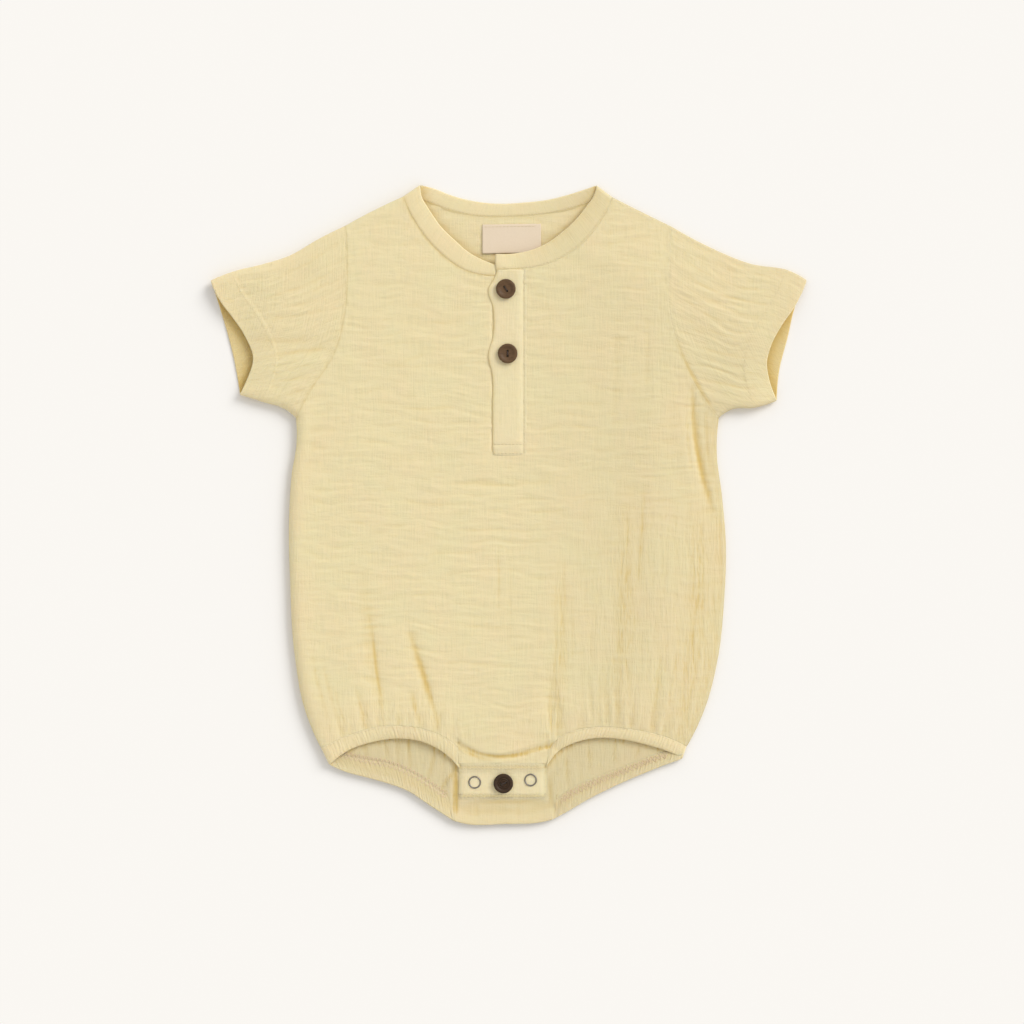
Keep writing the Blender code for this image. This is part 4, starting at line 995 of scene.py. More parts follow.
def buildSleeve(name, seed):
    rows = sleeves[name]
    lines = {key: smoothLine(line) for key, line in rows.items()}
    along = np.unique(np.concatenate([np.linspace(0, 1, sleeveCut["rows"]), (0.003, 0.008, 0.985, 0.995)]))
    ends = (0.003, 0.009, 0.018)
    top = spread((0, 1), (sleeveCut["columns"],), ends)
    low = spread((0, 1), (sleeveCut["underColumns"],), ends)[1:-1][::-1]

    def plan(cuff, across):
        return patchBetween(lines["armhole"], lines[cuff], lines["upper"], lines["lower"], across, along)

    def runIn(grid):  # one more row, under the front and back panels
        back = grid[:, :1] - grid[:, 1:2]
        reach = sleeveCut["runIn"] * np.sin(math.pi * np.linspace(0.02, 0.98, len(grid)))[:, None, None]
        return np.concatenate([grid[:, :1] + reach * back / np.linalg.norm(back, axis=-1)[..., None], grid], axis=1)

    parts = []
    for cuff, across, isTop in (("cuffFront", top, True), ("cuffBack", low, False)):
        outPlan = runIn(plan(cuff, across))
        inPlan = runIn(plan(cuff, 0.015 + 0.97 * across))
        x, y = outPlan[..., 0], outPlan[..., 1]
        away = lineDistance(outPlan, closedEdges)
        meet, roll = closedEdge(outPlan, away)
        cuffLine = sampled(rows[cuff])
        toCuff = lineDistance(outPlan, [cuffLine])
        toSeam = lineDistance(outPlan, [sampled(rows["armhole"])])
        length = np.linalg.norm(np.diff(outPlan, axis=1), axis=2).cumsum(axis=1)
        s = np.concatenate([np.zeros((len(outPlan), 1)), length], axis=1)
        under = 0.5 * (np.arange(outPlan.shape[1]) == 0)
        width = np.linalg.norm(outPlan[:1] - outPlan[-1:], axis=2)
        t = across[:, None] * (0.5 * width + 0.5 * width.mean())
        inHem = smoothStep((sleeveCut["hemDepth"] - toCuff) / 1.6)
        relief = gauzeRelief(s, t, 0.0, seed) * (1 - 0.45 * inHem) * smoothStep(away / 5) * seamCalm(toSeam)
        shadeAndPalePaint = np.zeros(away.shape)
        # painted darkening towards the right
        paintedDarkening = rightPaintedDarkening(x, away)
        if isTop:
            z, shadeAndPalePaint = layHeight(outPlan, away)
            # painted shade along the armhole seam, stronger on the left
            shadeAndPalePaint = np.maximum(shadeAndPalePaint, 0.35 * smoothStep((50 - x) / 100) * np.exp(-((toSeam / 1.2) ** 2)))
            z = z + 1.2 * relief + sleeveCut["hemStep"][name] * inHem
            groove = np.exp(-(((toCuff - sleeveCut["hemDepth"] + 1.5) / 0.8) ** 2))
            z = z - 0.04 * groove - 0.06 * np.exp(-((toSeam / lay["seamWidth"]) ** 2))
            z = z + seamPucker(x, y, toSeam) - under
            inside = np.maximum(z - sleeveCut["wall"], sleeveCut["wall"] + 0.75)
            outer = withHeight(outPlan, meet + (z - meet) * roll)
            inner = withHeight(inPlan, meet + 0.15 + (inside - meet - 0.15) * roll)
            inner[..., 2] = np.minimum(inner[..., 2], outer[..., 2] - 0.02)
        else:
            floor = 0.08 * (1 + softNoise(s / 9, t / 3, seed + 5)) * smoothStep(away / 3)
            outer = withHeight(outPlan, meet + (floor + under - meet) * roll)
            inner = withHeight(inPlan, np.maximum(sleeveCut["wall"] + 0.6 * relief, outer[..., 2] + 0.5))
            toFront = lineDistance(outPlan, [sampled(rows["cuffFront"])])
            # painted shade inside the sleeve, towards the cuff and under the front layer's cuff
            shadeAndPalePaint = 0.65 * smoothStep(1 - toCuff / 30) + 0.8 * np.exp(-((toFront / 5) ** 2))
            paintedDarkening = np.zeros(away.shape)
        parts.append((outer, inner, grain(s, t, 0.0), shadeAndPalePaint, paintedDarkening))
    outer, inner, weave, shadeAndPalePaint, paintedDarkening = (np.concatenate(group) for group in zip(*parts))
    mesh = clothShell(name + "_cloth", outer, inner, weave, shadeAndPalePaint, paintedDarkening, rolled=True)
    return addPiece(name + "_cloth", mesh, sleeveFinish[name], "gauze", name)


# ---- neckband ----


def stripWeave(plan):  # s runs down the strip and t across it
    steps = np.linalg.norm(np.diff(plan, axis=0), axis=2).mean(axis=1)
    s = np.concatenate([[0], np.cumsum(steps)])[:, None]
    t = np.concatenate([[0], np.cumsum(np.linalg.norm(np.diff(plan, axis=1), axis=2).mean(axis=0))])[None]
    return s, t


acrossStrip = np.array([-0.12, -0.04, 0.04, 0.12, 0.24, 0.38, 0.52, 0.66, 0.8, 0.9, 0.96, 1.0])
tuckedSeam = 0.35 * smoothStep((0.03 - acrossStrip) / 0.13)[None]


def buildNeckband():
    crown = neck["crown"] * (1 - (2 * acrossStrip - 1) ** 2)[None]
    dip = 0.15 * np.exp(-((acrossStrip * 9.0 / lay["seamWidth"]) ** 2))[None]
    foldEnd = np.array([0, 0.006, 0.014, 0.024])
    turn = neck["wall"] / 110
    outers, inners, plans, shadeAndPalePaints = [], [], [], []
    for key, count, endLift in (("frontLeft", 96, 0.0), ("frontRight", 104, 1.0)):
        out = np.union1d(np.linspace(0, 1, count), foldEnd)
        plan = stripBetween(neck[key], out, acrossStrip)
        away = lineDistance(plan, closedEdges)
        s, t = stripWeave(plan)
        ripple = 0.12 * softNoise(s / 9, t / 9, 31) + 0.06 * softNoise(s / 4, t / 5, 32)
        z = layHeight(plan, away)[0] + crown - dip + ripple - tuckedSeam
        z = z + endLift * smoothStep((out - 0.84) / 0.14)[:, None]
        meet, roll = closedEdge(plan, away)
        outers.append(withHeight(plan, meet + (z - meet) * roll))
        insidePlan = stripBetween(neck[key], turn + (1 - turn) * out, acrossStrip)
        inside = meet + 0.1 + (z - neck["wall"] - meet - 0.1) * roll
        inners.append(withHeight(insidePlan, inside))
        plans.append(plan)
        # painted shade along the seam on the left, and darker towards the right
        seamShadePaint = np.exp(-((acrossStrip * 9 / 1.3) ** 2))[None]
        shadeAndPalePaints.append(0.7 * smoothStep((30 - plan[..., 0]) / 60) * seamShadePaint + 6.0 * rightPaintedDarkening(plan[..., 0]))
    out = np.union1d(np.linspace(0, 1, 110), np.concatenate([foldEnd, 1 - foldEnd]))[1:-1]
    plan = stripBetween(neck["back"], out, acrossStrip)
    away = lineDistance(plan, closedEdges)
    s, t = stripWeave(plan)
    ripple = 0.10 * softNoise(s / 9, t / 9, 33) + 0.06 * softNoise(s / 4, t / 5, 34)
    meet, roll = closedEdge(plan, away)
    outers.insert(1, withHeight(plan, meet * (1 - roll)))
    face = neck["wall"] - 0.1 + 0.8 * crown + ripple - 0.8 * tuckedSeam
    inners.insert(1, withHeight(stripBetween(neck["back"], turn + (1 - 2 * turn) * out, acrossStrip), face))
    plans.insert(1, plan)
    # painted shadow of the front neckband on the back band, and painted shade along its seam
    shadow = lineDistance(plan, [sampled(edgeOf(neck[key])) for key in ("frontLeft", "frontRight")])
    shadeAndPalePaints.insert(1, 0.5 * np.exp(-((acrossStrip * 9 / 1.2) ** 2))[None] + 0.5 * np.exp(-((shadow / 3.5) ** 2)))
    for group in (outers, inners, plans, shadeAndPalePaints):
        group[0] = group[0][::-1]
    s, t = stripWeave(np.concatenate(plans))
    outer, inner, shadeAndPalePaint = (np.concatenate(group) for group in (outers, inners, shadeAndPalePaints))
    # painted darkening towards the right
    mesh = clothShell("neckband_cloth", outer, inner, grain(s, t, 0.0), shadeAndPalePaint, 2.0 * rightPaintedDarkening(outer[..., 0]))
    return addPiece("neckband_cloth", mesh, stripFinish, "gauze", "neckband")


# ---- leg casings ----

casing = {
    "wall": 1.3,
    "pitch": 2.0,  # from one gather to the next along the elastic
    "gatherHeight": 0.25,
    "columns": 300,
    "tail": 2.2,  # how far the ends run in under the panels
}
acrossCasing = np.array([-0.12, -0.05, 0.03, 0.12, 0.24, 0.38, 0.52, 0.66, 0.79, 0.89, 0.96, 1.0])


def buildCasing(name, seed):
    across = acrossCasing
    out = np.union1d(np.linspace(0, 1, casing["columns"]), (0.002, 0.006, 0.012, 0.02))
    turn = casing["wall"] / 90
    tucked = 0.45 * smoothStep((0.05 - across) / 0.13)[None]
    parts = []
    for key in ("front", "back"):
        rows = legs[name][key]
        plan = stripBetween(rows, out, across)
        insidePlan = stripBetween(rows, turn + (1 - turn) * out, across)
        onward = plan[-1] - plan[-2]
        onward = casing["tail"] * onward / np.linalg.norm(onward, axis=-1)[:, None]
        plan = np.concatenate([plan, plan[-1:] + onward])
        insidePlan = np.concatenate([insidePlan, insidePlan[-1:] + onward])
        away = lineDistance(plan, closedEdges)
        s, t = stripWeave(plan)
        place = s / casing["pitch"] + 0.5 * softNoise(s / 5.5, t / 14, seed) + 0.3 * softNoise(s / 2.4, t / 6, seed + 3)
        wave = np.abs(np.sin(math.pi * place)) ** 0.8 - 0.6
        uneven = np.clip(0.75 + 0.9 * softNoise(s / 7, t / 12, seed + 1), 0.15, 1.5)
        crown = 0.5 * (1 - (2 * across - 1) ** 2)[None] * smoothStep((s[-2] - s) / 6)
        gather = casing["gatherHeight"] * uneven * wave * smoothStep(s / 9)
        gather = gather * (0.5 + 0.5 * np.sin(math.pi * np.clip(across, 0.05, 0.92)))[None]
        fine = 0.14 * softNoise(s / 1.5, t / 4, seed + 2)
        meet, roll = closedEdge(plan, away)
        drop = tucked + 0.7 * (s > s[-2])
        if key == "front":
            z = layHeight(plan, away)[0] + crown + gather + fine - drop
            outer = withHeight(plan, meet + (z - meet) * roll)
            inside = z - casing["wall"] - 0.3 * gather
            inner = withHeight(insidePlan, meet + 0.1 + (inside - meet - 0.1) * roll)
            # the last value is painted darkening, slight on the front part
            parts.append((outer[::-1], inner[::-1], plan[::-1], 0.02 + 0 * away))
        else:
            keep = slice(1, None)
            face = casing["wall"] + 0.25 + crown + 0.7 * gather + 1.3 * fine - drop
            curl = 2.5 * np.clip(across, 0, 1)[None] ** 2
            outer = withHeight(plan, meet * (1 - roll) + curl * roll)
            inner = withHeight(insidePlan, face + 0.9 * curl)
            # painted darkening on the back part, seen inside the leg
            parts.append((outer[keep], inner[keep], plan[keep], 0.14 + 0 * away[keep]))
    outer, inner, plan, paintedDarkening = (np.concatenate(group) for group in zip(*parts))
    s, t = stripWeave(plan)
    mesh = clothShell(name + "_cloth", outer, inner, grain(s, t, 1.0), paintedDarkening=paintedDarkening)
    return addPiece(name + "_cloth", mesh, clothFinish, "gauze", name)


# ---- placket, crotch tab and label ----


def stripGrid(xs, ys):
    return np.stack(np.meshgrid(xs, ys, indexing="ij"), axis=-1)


def buildPlacket():
    # the under strip peeks out on the left
    xs = spread((placket["underLeft"], placket["right"] - 3), (24,))
    ys = np.linspace(placket["underBottom"], placket["underTop"], 110)
    plan = stripGrid(xs, ys)
    away = lineDistance(plan, closedEdges)
    x, y = plan[..., 0], plan[..., 1]
    edgeDrop = 0.35 * np.exp(-((x - placket["underLeft"]) / 0.8))
    z = layHeight(plan, away)[0] - 0.25 + 0.08 * softNoise(x / 3, y / 6, 71) - edgeDrop
    edge = sampled(placket["edge"][::-1], 120)
    beside = np.interp(y, edge[:, 1], edge[:, 0]) - x
    # painted shadow on the under strip beside the upper strip's edge
    shadeAndPalePaint = 0.65 * np.exp(-((np.maximum(beside, 0) / 1.8) ** 2))
    mesh = clothShell("placket_under_cloth", withHeight(plan, z), withHeight(plan, z - 0.8), grain(x, y, 0.5), shadeAndPalePaint)
    under = addPiece("placket_under_cloth", mesh, stripFinish, "gauze", "placket_under")
    # the upper strip, folded at its wavy left edge and sewn down on the right
    ys = np.linspace(placket["bottom"], placket["top"], 180)
    edge = sampled(placket["edge"][::-1], 120)
    left = np.interp(ys, edge[:, 1], edge[:, 0])[None]
    shares = np.array([0, 0.015, 0.04, 0.08, 0.14, 0.22, 0.3, 0.38, 0.46, 0.54, 0.62, 0.7, 0.77, 0.83,
                       0.87, 0.9, 0.93, 0.955, 0.98, 1.0])[:, None]
    x = left + shares * (placket["right"] - left)
    y = np.broadcast_to(ys, x.shape)
    plan = np.stack([x, y], axis=-1)
    away = lineDistance(plan, closedEdges)
    lift = 0.5 * smoothStep((-left - 9.3) / 2.4) * (1 - shares) ** 2
    down = smoothStep((x - 6.0) / 3.4)  # towards the stitched right edge
    downLow = smoothStep((placket["bottom"] + 5 - y) / 5)
    raised = placket["raised"] * (1 - 0.8 * np.maximum(down, downLow)) + lift
    foldRound = 0.5 * np.exp(-((x - left) / 0.7))
    ripple = 0.10 * softNoise(x / 7, y / 3.2, 72) + 0.08 * softNoise(x / 3, y / 2.0, 73)
    stitched = 0.22 * np.exp(-(((x - 9.3) / 0.7) ** 2)) + 0.2 * np.exp(-(((y - placket["bottom"] - 6.5) / 0.7) ** 2))
    z = layHeight(plan, away)[0] + raised - foldRound + ripple - stitched
    under = withHeight(plan, z - placket["wall"])
    # painted shade along the folded edge; the rest of the strip a touch paler
    shadeAndPalePaint = 0.5 * np.exp(-(((x - left) / 0.9) ** 2)) - 0.10
    mesh = clothShell("placket_upper_cloth", withHeight(plan, z), under, grain(x, y, 0.0), shadeAndPalePaint)
    return addPiece("placket_upper_cloth", mesh, stripFinish, "gauze", "placket_upper")


ringShape = {"radius": 3.4, "wire": 0.44}
rings = [
    {"node": "snap_ring_left", "x": -20.3, "y": -167.5},
    {"node": "snap_ring_right", "x": 13.3, "y": -166.1},
]


def buildTab():
    xs = spread((tab["left"], tab["right"]), (84,))
    ys = np.unique(np.append(np.linspace(tab["bottom"], tab["top"], 44), (tab["bottom"] + 0.2, tab["top"] - 0.2)))
    plan = stripGrid(xs, ys)
    x, y = plan[..., 0], plan[..., 1]
    topLine = stripGrid(xs, np.array([tab["top"]]))
    topEdge = layHeight(topLine, lineDistance(topLine, closedEdges))[0] - 0.15
    flat = body["cloth"] + 0.35
    rise = smoothStep((y - tab["top"] + 7) / 7)
    low = flat + (topEdge - tab["wall"] - flat) * rise
    ripple = 0.10 * softNoise(x / 7, y / 3.0, 81) + 0.07 * softNoise(x / 3, y / 2.2, 82)
    sewn = 0
    for line in (-157.6, -175.0, -176.6):
        sewn = sewn + 0.28 * np.exp(-(((y - line) / 0.6) ** 2))
    border = np.minimum(np.minimum(x - tab["left"], tab["right"] - x), y - tab["bottom"])
    z = low + tab["wall"] + ripple - sewn - 0.80 * np.exp(-((border / 2.2) ** 2))
    # painted shade along the stitch lines and the edges; paler inside the snap rings and over the tab
    shadeAndPalePaint = 0.55 * np.exp(-(((y + 158.4) / 0.8) ** 2)) + 0.55 * np.exp(-(((y + 175.8) / 0.8) ** 2))
    for row in rings:
        within = np.hypot(x - row["x"], y - row["y"]) - ringShape["radius"]
        shadeAndPalePaint = shadeAndPalePaint - 0.12 * smoothStep(0.5 - within / 1.2)
    shadeAndPalePaint = shadeAndPalePaint - 0.12 + 0.3 * np.exp(-((border / 1.0) ** 2))
    mesh = clothShell("crotch_tab_cloth", withHeight(plan, z), withHeight(plan, low), grain(x, y, 0.0), shadeAndPalePaint)
    return addPiece("crotch_tab_cloth", mesh, stripFinish, "gauze", "crotch_tab")


label = {"left": -15.6, "right": 19.4, "top": 167.5, "bottom": 150.3, "wall": 0.5, "curl": 0.5}


def buildLabel():
    made, nodes, links, shader = newMaterial("label tape")
    place = nodes.new("ShaderNodeTexCoord")
    waves = nodes.new("ShaderNodeTexWave")
    waves.inputs["Scale"].default_value = 900
    waves.inputs["Distortion"].default_value = 1.5
    links.new(place.outputs["Object"], waves.inputs["Vector"])
    fleck = noiseNode(nodes, links, place.outputs["Object"], 900.0, 3.0)
    share = mathNode(nodes, links, "MULTIPLY", fleck, 0.5)
    links.new(mixColour(nodes, links, share, (0.80, 0.66, 0.49), (0.70, 0.56, 0.40)), shader.inputs["Base Color"])
    bump = nodes.new("ShaderNodeBump")
    bump.inputs["Strength"].default_value = 0.5
    bump.inputs["Distance"].default_value = 0.0001
    links.new(mathNode(nodes, links, "ADD", waves.outputs["Fac"], fleck), bump.inputs["Height"])
    links.new(bump.outputs["Normal"], shader.inputs["Normal"])
    shader.inputs["Roughness"].default_value = 0.85
    shader.inputs["Sheen Weight"].default_value = 0.15
    xs = np.linspace(label["left"], label["right"], 60)
    ys = np.linspace(label["bottom"], label["top"], 34)
    plan = stripGrid(xs, ys)
    x, y = plan[..., 0], plan[..., 1]
    plan = np.stack([x, y + 0.5 * (x - label["left"]) / 35], axis=-1)
    low = (label["top"] - y) / (label["top"] - label["bottom"])
    lift = label["curl"] * low**2 * (0.6 + 0.9 * ((x - label["left"]) / 35) ** 2)
    z = body["cloth"] + 0.75 + lift + 0.05 * softNoise(x / 6, y / 6, 77)
    mesh = clothShell("neck_label_tape", withHeight(plan, z + label["wall"]), withHeight(plan, z), grain(x, y, 0.0))
    return addPiece("neck_label_tape", mesh, made, "label", "neck_label")


front = buildFrontPanel()
print("front panel made")
back = buildBackPanel()
sleeveLeft = buildSleeve("sleeve_left", 101)
sleeveRight = buildSleeve("sleeve_right", 131)
print("back and sleeves made")
neckband = buildNeckband()
casingLeft = buildCasing("leg_casing_left", 201)
casingRight = buildCasing("leg_casing_right", 231)
placketUpper = buildPlacket()
crotchTab = buildTab()
neckLabel = buildLabel()
print("strips made")


# ---- buttons and snaps ----

buttonShape = {
    "radius": 5.9,
    "holeRadius": 0.72,
    "holeSpacing": 2.9,
    # down the outer side: radius share, height
    "rimSide": [
        (0.62, 1.95), (0.70, 2.22), (0.80, 2.36), (0.89, 2.36), (0.96, 2.20), (1.0, 1.80), (0.995, 1.20),
        (0.93, 0.55), (0.80, 0.15), (0.60, 0.0), (0.0, 0.0),
    ],
    "faces": {
        "button": [(0.0, 1.55), (0.42, 1.55), (0.54, 1.66)],
        "crotch_button": [
            (0.0, 1.55), (0.20, 1.55), (0.25, 1.80), (0.31, 1.80), (0.36, 1.52), (0.42, 1.52), (0.47, 1.84),
            (0.52, 1.84), (0.57, 1.62),
        ],
    },
}
buttons = [
    {"node": "button_top", "x": -1.6, "y": 128.5, "turn": 125, "slot": "button", "on": placketUpper},
    {"node": "button_lower", "x": -0.5, "y": 89.8, "turn": 90, "slot": "button", "on": placketUpper},
    {"node": "button_crotch", "x": -3.1, "y": -168.1, "turn": 20, "slot": "crotch_button", "on": crotchTab},
]


def treeOf(*pieces):
    joined = bmesh.new()
    for piece in pieces:
        joined.from_mesh(piece.data)
    tree = BVHTree.FromBMesh(joined)
    joined.free()
    return tree


def heightOn(tree, x, y):
    hit = tree.ray_cast(Vector((x, y, 100)) * mm, Vector((0, 0, -1)))[0]
    return hit.z / mm if hit else None


def buttonMaterial(name, light, dark):
    made, nodes, links, shader = newMaterial(name)
    place = nodes.new("ShaderNodeTexCoord")
    grainLines = nodes.new("ShaderNodeMapping")
    grainLines.inputs["Scale"].default_value = (260, 1500, 260)
    links.new(place.outputs["Object"], grainLines.inputs["Vector"])
    streak = noiseNode(nodes, links, grainLines.outputs["Vector"], 1.0, 4.0, 0.6)
    cloud = noiseNode(nodes, links, place.outputs["Object"], 420.0, 2.0)
    share = mathNode(nodes, links, "MULTIPLY_ADD", streak, 1.6, mathNode(nodes, links, "MULTIPLY_ADD", cloud, 0.6, -0.6))
    share.node.use_clamp = True
    links.new(mixColour(nodes, links, share, dark, light), shader.inputs["Base Color"])
    bump = nodes.new("ShaderNodeBump")
    bump.inputs["Strength"].default_value = 0.35
    bump.inputs["Distance"].default_value = 0.00008
    links.new(streak, bump.inputs["Height"])
    links.new(bump.outputs["Normal"], shader.inputs["Normal"])
    shader.inputs["Roughness"].default_value = 0.5
    shader.inputs["Specular IOR Level"].default_value = 0.25
    return made


buttonFinish = {
    "button": buttonMaterial("brown button", (0.150, 0.082, 0.036), (0.070, 0.036, 0.015)),
    "crotch_button": buttonMaterial("dark button", (0.062, 0.031, 0.013), (0.022, 0.011, 0.005)),
}


def plainMaterial(name, colour, roughness, metallic=0.0, fleckScale=2200.0, fleckShade=0.75):
    made, nodes, links, shader = newMaterial(name)
    place = nodes.new("ShaderNodeTexCoord")
    fleck = noiseNode(nodes, links, place.outputs["Object"], fleckScale, 2.0)
    darker = tuple(channel * fleckShade for channel in colour)
    links.new(mixColour(nodes, links, fleck, colour, darker), shader.inputs["Base Color"])
    shader.inputs["Roughness"].default_value = roughness
    shader.inputs["Metallic"].default_value = metallic
    return made


threadFinish = plainMaterial("sewing thread", (0.79, 0.67, 0.41), 0.8)
overlockFinish = plainMaterial("overlock thread", (0.85, 0.66, 0.46), 0.8)
darkThread = plainMaterial("dark thread", (0.05, 0.03, 0.02), 0.8)


def buildButton(row):
    tree = treeOf(row["on"])
    radius = buttonShape["radius"]
    spots = [(0, 0)] + [(0.8 * radius * math.cos(a), 0.8 * radius * math.sin(a)) for a in np.linspace(0, 5.5, 8)]
    base = max(heightOn(tree, row["x"] + dx, row["y"] + dy) or 0 for dx, dy in spots) + 0.05
    mesh = bmesh.new()
    rings = 72
    verts = []
    profile = buttonShape["faces"][row["slot"]] + buttonShape["rimSide"]
    for share, z in profile[1:-1]:
        verts.append([
            mesh.verts.new((share * radius * math.cos(2 * math.pi * k / rings),
                            share * radius * math.sin(2 * math.pi * k / rings), z))
            for k in range(rings)
        ])
    for high, lowRing in zip(verts[:-1], verts[1:]):
        for k in range(rings):
            mesh.faces.new((high[k], lowRing[k], lowRing[(k + 1) % rings], high[(k + 1) % rings]))
    mesh.faces.new(verts[0])
    mesh.faces.new(verts[-1][::-1])
    bmesh.ops.recalc_face_normals(mesh, faces=mesh.faces)
    data = bpy.data.meshes.new(row["node"] + "_turned")
    mesh.to_mesh(data)
    mesh.free()
    piece = bpy.data.objects.new(row["node"] + "_turned", data)
    bpy.context.scene.collection.objects.link(piece)
    turn = math.radians(row["turn"])
    for side in (-1, 1):
        drill = bmesh.new()
        bmesh.ops.create_cone(
            drill, cap_ends=True, segments=28,
            radius1=buttonShape["holeRadius"], radius2=buttonShape["holeRadius"], depth=9,
        )
        away = side * buttonShape["holeSpacing"] / 2
        bmesh.ops.translate(drill, verts=drill.verts, vec=(away * math.cos(turn), away * math.sin(turn), 0))
        drillMesh = bpy.data.meshes.new("thread hole")
        drill.to_mesh(drillMesh)
        drill.free()
        cutter = bpy.data.objects.new("thread hole", drillMesh)
        bpy.context.scene.collection.objects.link(cutter)
        cut = piece.modifiers.new("thread hole", "BOOLEAN")
        cut.object = cutter
        cut.operation = "DIFFERENCE"
    graph = bpy.context.evaluated_depsgraph_get()
    done = bpy.data.meshes.new_from_object(piece.evaluated_get(graph))
    for modifier in list(piece.modifiers):
        bpy.data.objects.remove(modifier.object)
    piece.modifiers.clear()
    place = np.array([vert.co for vert in done.vertices]) + (row["x"], row["y"], base)
    done.vertices.foreach_set("co", (place * mm).astype(np.float32).ravel())
    done.shade_smooth()
    done.set_sharp_from_angle(angle=math.radians(40))
    piece.data = done
    done.materials.clear()
    done.materials.append(buttonFinish[row["slot"]])
    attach(piece, "root")
    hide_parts(row["node"])
    # the thread that passes through both holes
    ends = []
    for share in np.linspace(-1, 1, 9):
        away = share * buttonShape["holeSpacing"] / 2
        rise = 1.62 + 0.25 * math.sqrt(max(0.0, 1 - share**2)) - (0.9 if abs(share) > 0.99 else 0)
        ends.append((row["x"] + away * math.cos(turn), row["y"] + away * math.sin(turn), base + rise))
    tube = bpy.data.curves.new(row["node"] + "_thread", "CURVE")
    tube.dimensions = "3D"
    tube.bevel_depth = 0.42 * mm
    tube.bevel_resolution = 2
    tube.use_fill_caps = True
    spline = tube.splines.new("POLY")
    spline.points.add(len(ends) - 1)
    for point, end in zip(spline.points, ends):
        point.co = (*(Vector(end) * mm), 1)
    tied = bpy.data.objects.new(row["node"] + "_thread", tube)
    bpy.context.scene.collection.objects.link(tied)
    tube.materials.append(darkThread)
    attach(tied, "root")
    return piece


ringFinish = plainMaterial("grey snap metal", (0.30, 0.27, 0.23), 0.4, metallic=1.0, fleckScale=1500.0)


def buildRing(row, tree):
    base = heightOn(tree, row["x"] + ringShape["radius"], row["y"]) + 0.18
    bpy.ops.mesh.primitive_torus_add(
        major_segments=72, minor_segments=14,
        major_radius=ringShape["radius"] * mm, minor_radius=ringShape["wire"] * mm,
        location=(row["x"] * mm, row["y"] * mm, base * mm),
    )
    piece = bpy.context.object
    piece.name = row["node"] + "_wire"
    piece.data.transform(piece.matrix_world)
    piece.location = (0, 0, 0)
    piece.data.shade_smooth()
    piece.data.materials.append(ringFinish)
    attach(piece, "root")
    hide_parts(row["node"])
    return piece


for row in buttons:
    buildButton(row)
tabTree = treeOf(crotchTab)
for row in rings:
    buildRing(row, tabTree)
print("buttons and snaps made")


# ---- sewing ----

stitch = {"length": 1.7, "gap": 0.5, "radius": 0.13, "sides": 6}
capsule = [(-1.0, 0.45, -0.9), (-0.7, 0.9, 0.1), (0.0, 1.0, 0.5), (0.7, 0.9, 0.1), (1.0, 0.45, -0.9)]


def addStitch(mesh, start, end, radius):  # a short thread that dives into the cloth at both ends
    start, end = Vector(start), Vector(end)
    along = end - start
    across = along.cross(Vector((0, 0, 1))).normalized()
    up = across.cross(along).normalized()
    rings = []
    for share, thick, rise in capsule:
        centre = (start + end) / 2 + along * share / 2 + up * rise * radius
        rings.append([
            mesh.verts.new((centre + radius * thick * (math.cos(a) * across + math.sin(a) * up)) * mm)
            for a in np.linspace(0, 2 * math.pi, stitch["sides"], endpoint=False)
        ])
    for first, second in zip(rings[:-1], rings[1:]):
        for k in range(stitch["sides"]):
            follow = (k + 1) % stitch["sides"]
            mesh.faces.new((first[k], first[follow], second[follow], second[k]))
    mesh.faces.new(rings[0][::-1])
    mesh.faces.new(rings[-1])


def sewLine(mesh, tree, line, radius=stitch["radius"]):
    steps = np.linalg.norm(np.diff(line, axis=0), axis=1)
    at = np.concatenate([[0], np.cumsum(steps)])
    pitch = stitch["length"] + stitch["gap"]
    for number in range(int(at[-1] / pitch)):
        ends = []
        for place in (number * pitch, number * pitch + stitch["length"]):
            x, y = (np.interp(place, at, line[:, axis]) for axis in (0, 1))
            z = heightOn(tree, x, y)
            if z is not None:
                ends.append((x, y, z + 0.6 * radius))
        if len(ends) == 2 and abs(ends[0][2] - ends[1][2]) < 1.5:
            addStitch(mesh, *ends, radius)


def sewZigzag(mesh, tree, seam, width, pitch):  # overlock along the seam seen inside the legs
    steps = np.linalg.norm(np.diff(seam, axis=0), axis=1)
    at = np.concatenate([[0], np.cumsum(steps)])
    count = int(at[-1] / pitch)
    corners = []
    for number in range(count + 1):
        x, y = (np.interp(number * pitch, at, seam[:, axis]) for axis in (0, 1))
        ahead = [np.interp(number * pitch + 1, at, seam[:, axis]) for axis in (0, 1)]
        side = Vector((-(ahead[1] - y), ahead[0] - x)).normalized() * (width if number % 2 else 0.0)
        x, y = x + side.x, y + side.y
        z = heightOn(tree, x, y)
        corners.append(None if z is None else (x, y, z + 0.12))
    for first, second in zip(corners[:-1], corners[1:]):
        if first and second and abs(first[2] - second[2]) < 1.5:
            addStitch(mesh, first, second, 0.16)


def straight(start, end):
    return np.array([start, end], float)


def besideSeam(rows, share, low=0.0, high=1.0):  # a line at that share of a strip's width
    along = np.linspace(low, high, 60)
    return stripBetween(rows, along, np.array([share]))[:, 0]


def hemLine(name):
    rows = sleeves[name]
    cuff = sampled(rows["cuffFront"], 60)
    arm = sampled(rows["armhole"], 60)
    inward = arm - cuff
    inward /= np.linalg.norm(inward, axis=1)[:, None]
    return (cuff + inward * (sleeveCut["hemDepth"] - 1.5))[2:-2]


def finishSewing(name, mesh, finish):
    data = bpy.data.meshes.new(name)
    bmesh.ops.recalc_face_normals(mesh, faces=mesh.faces)
    mesh.to_mesh(data)
    mesh.free()
    data.shade_smooth()
    return addPiece(name, data, finish, "gauze")


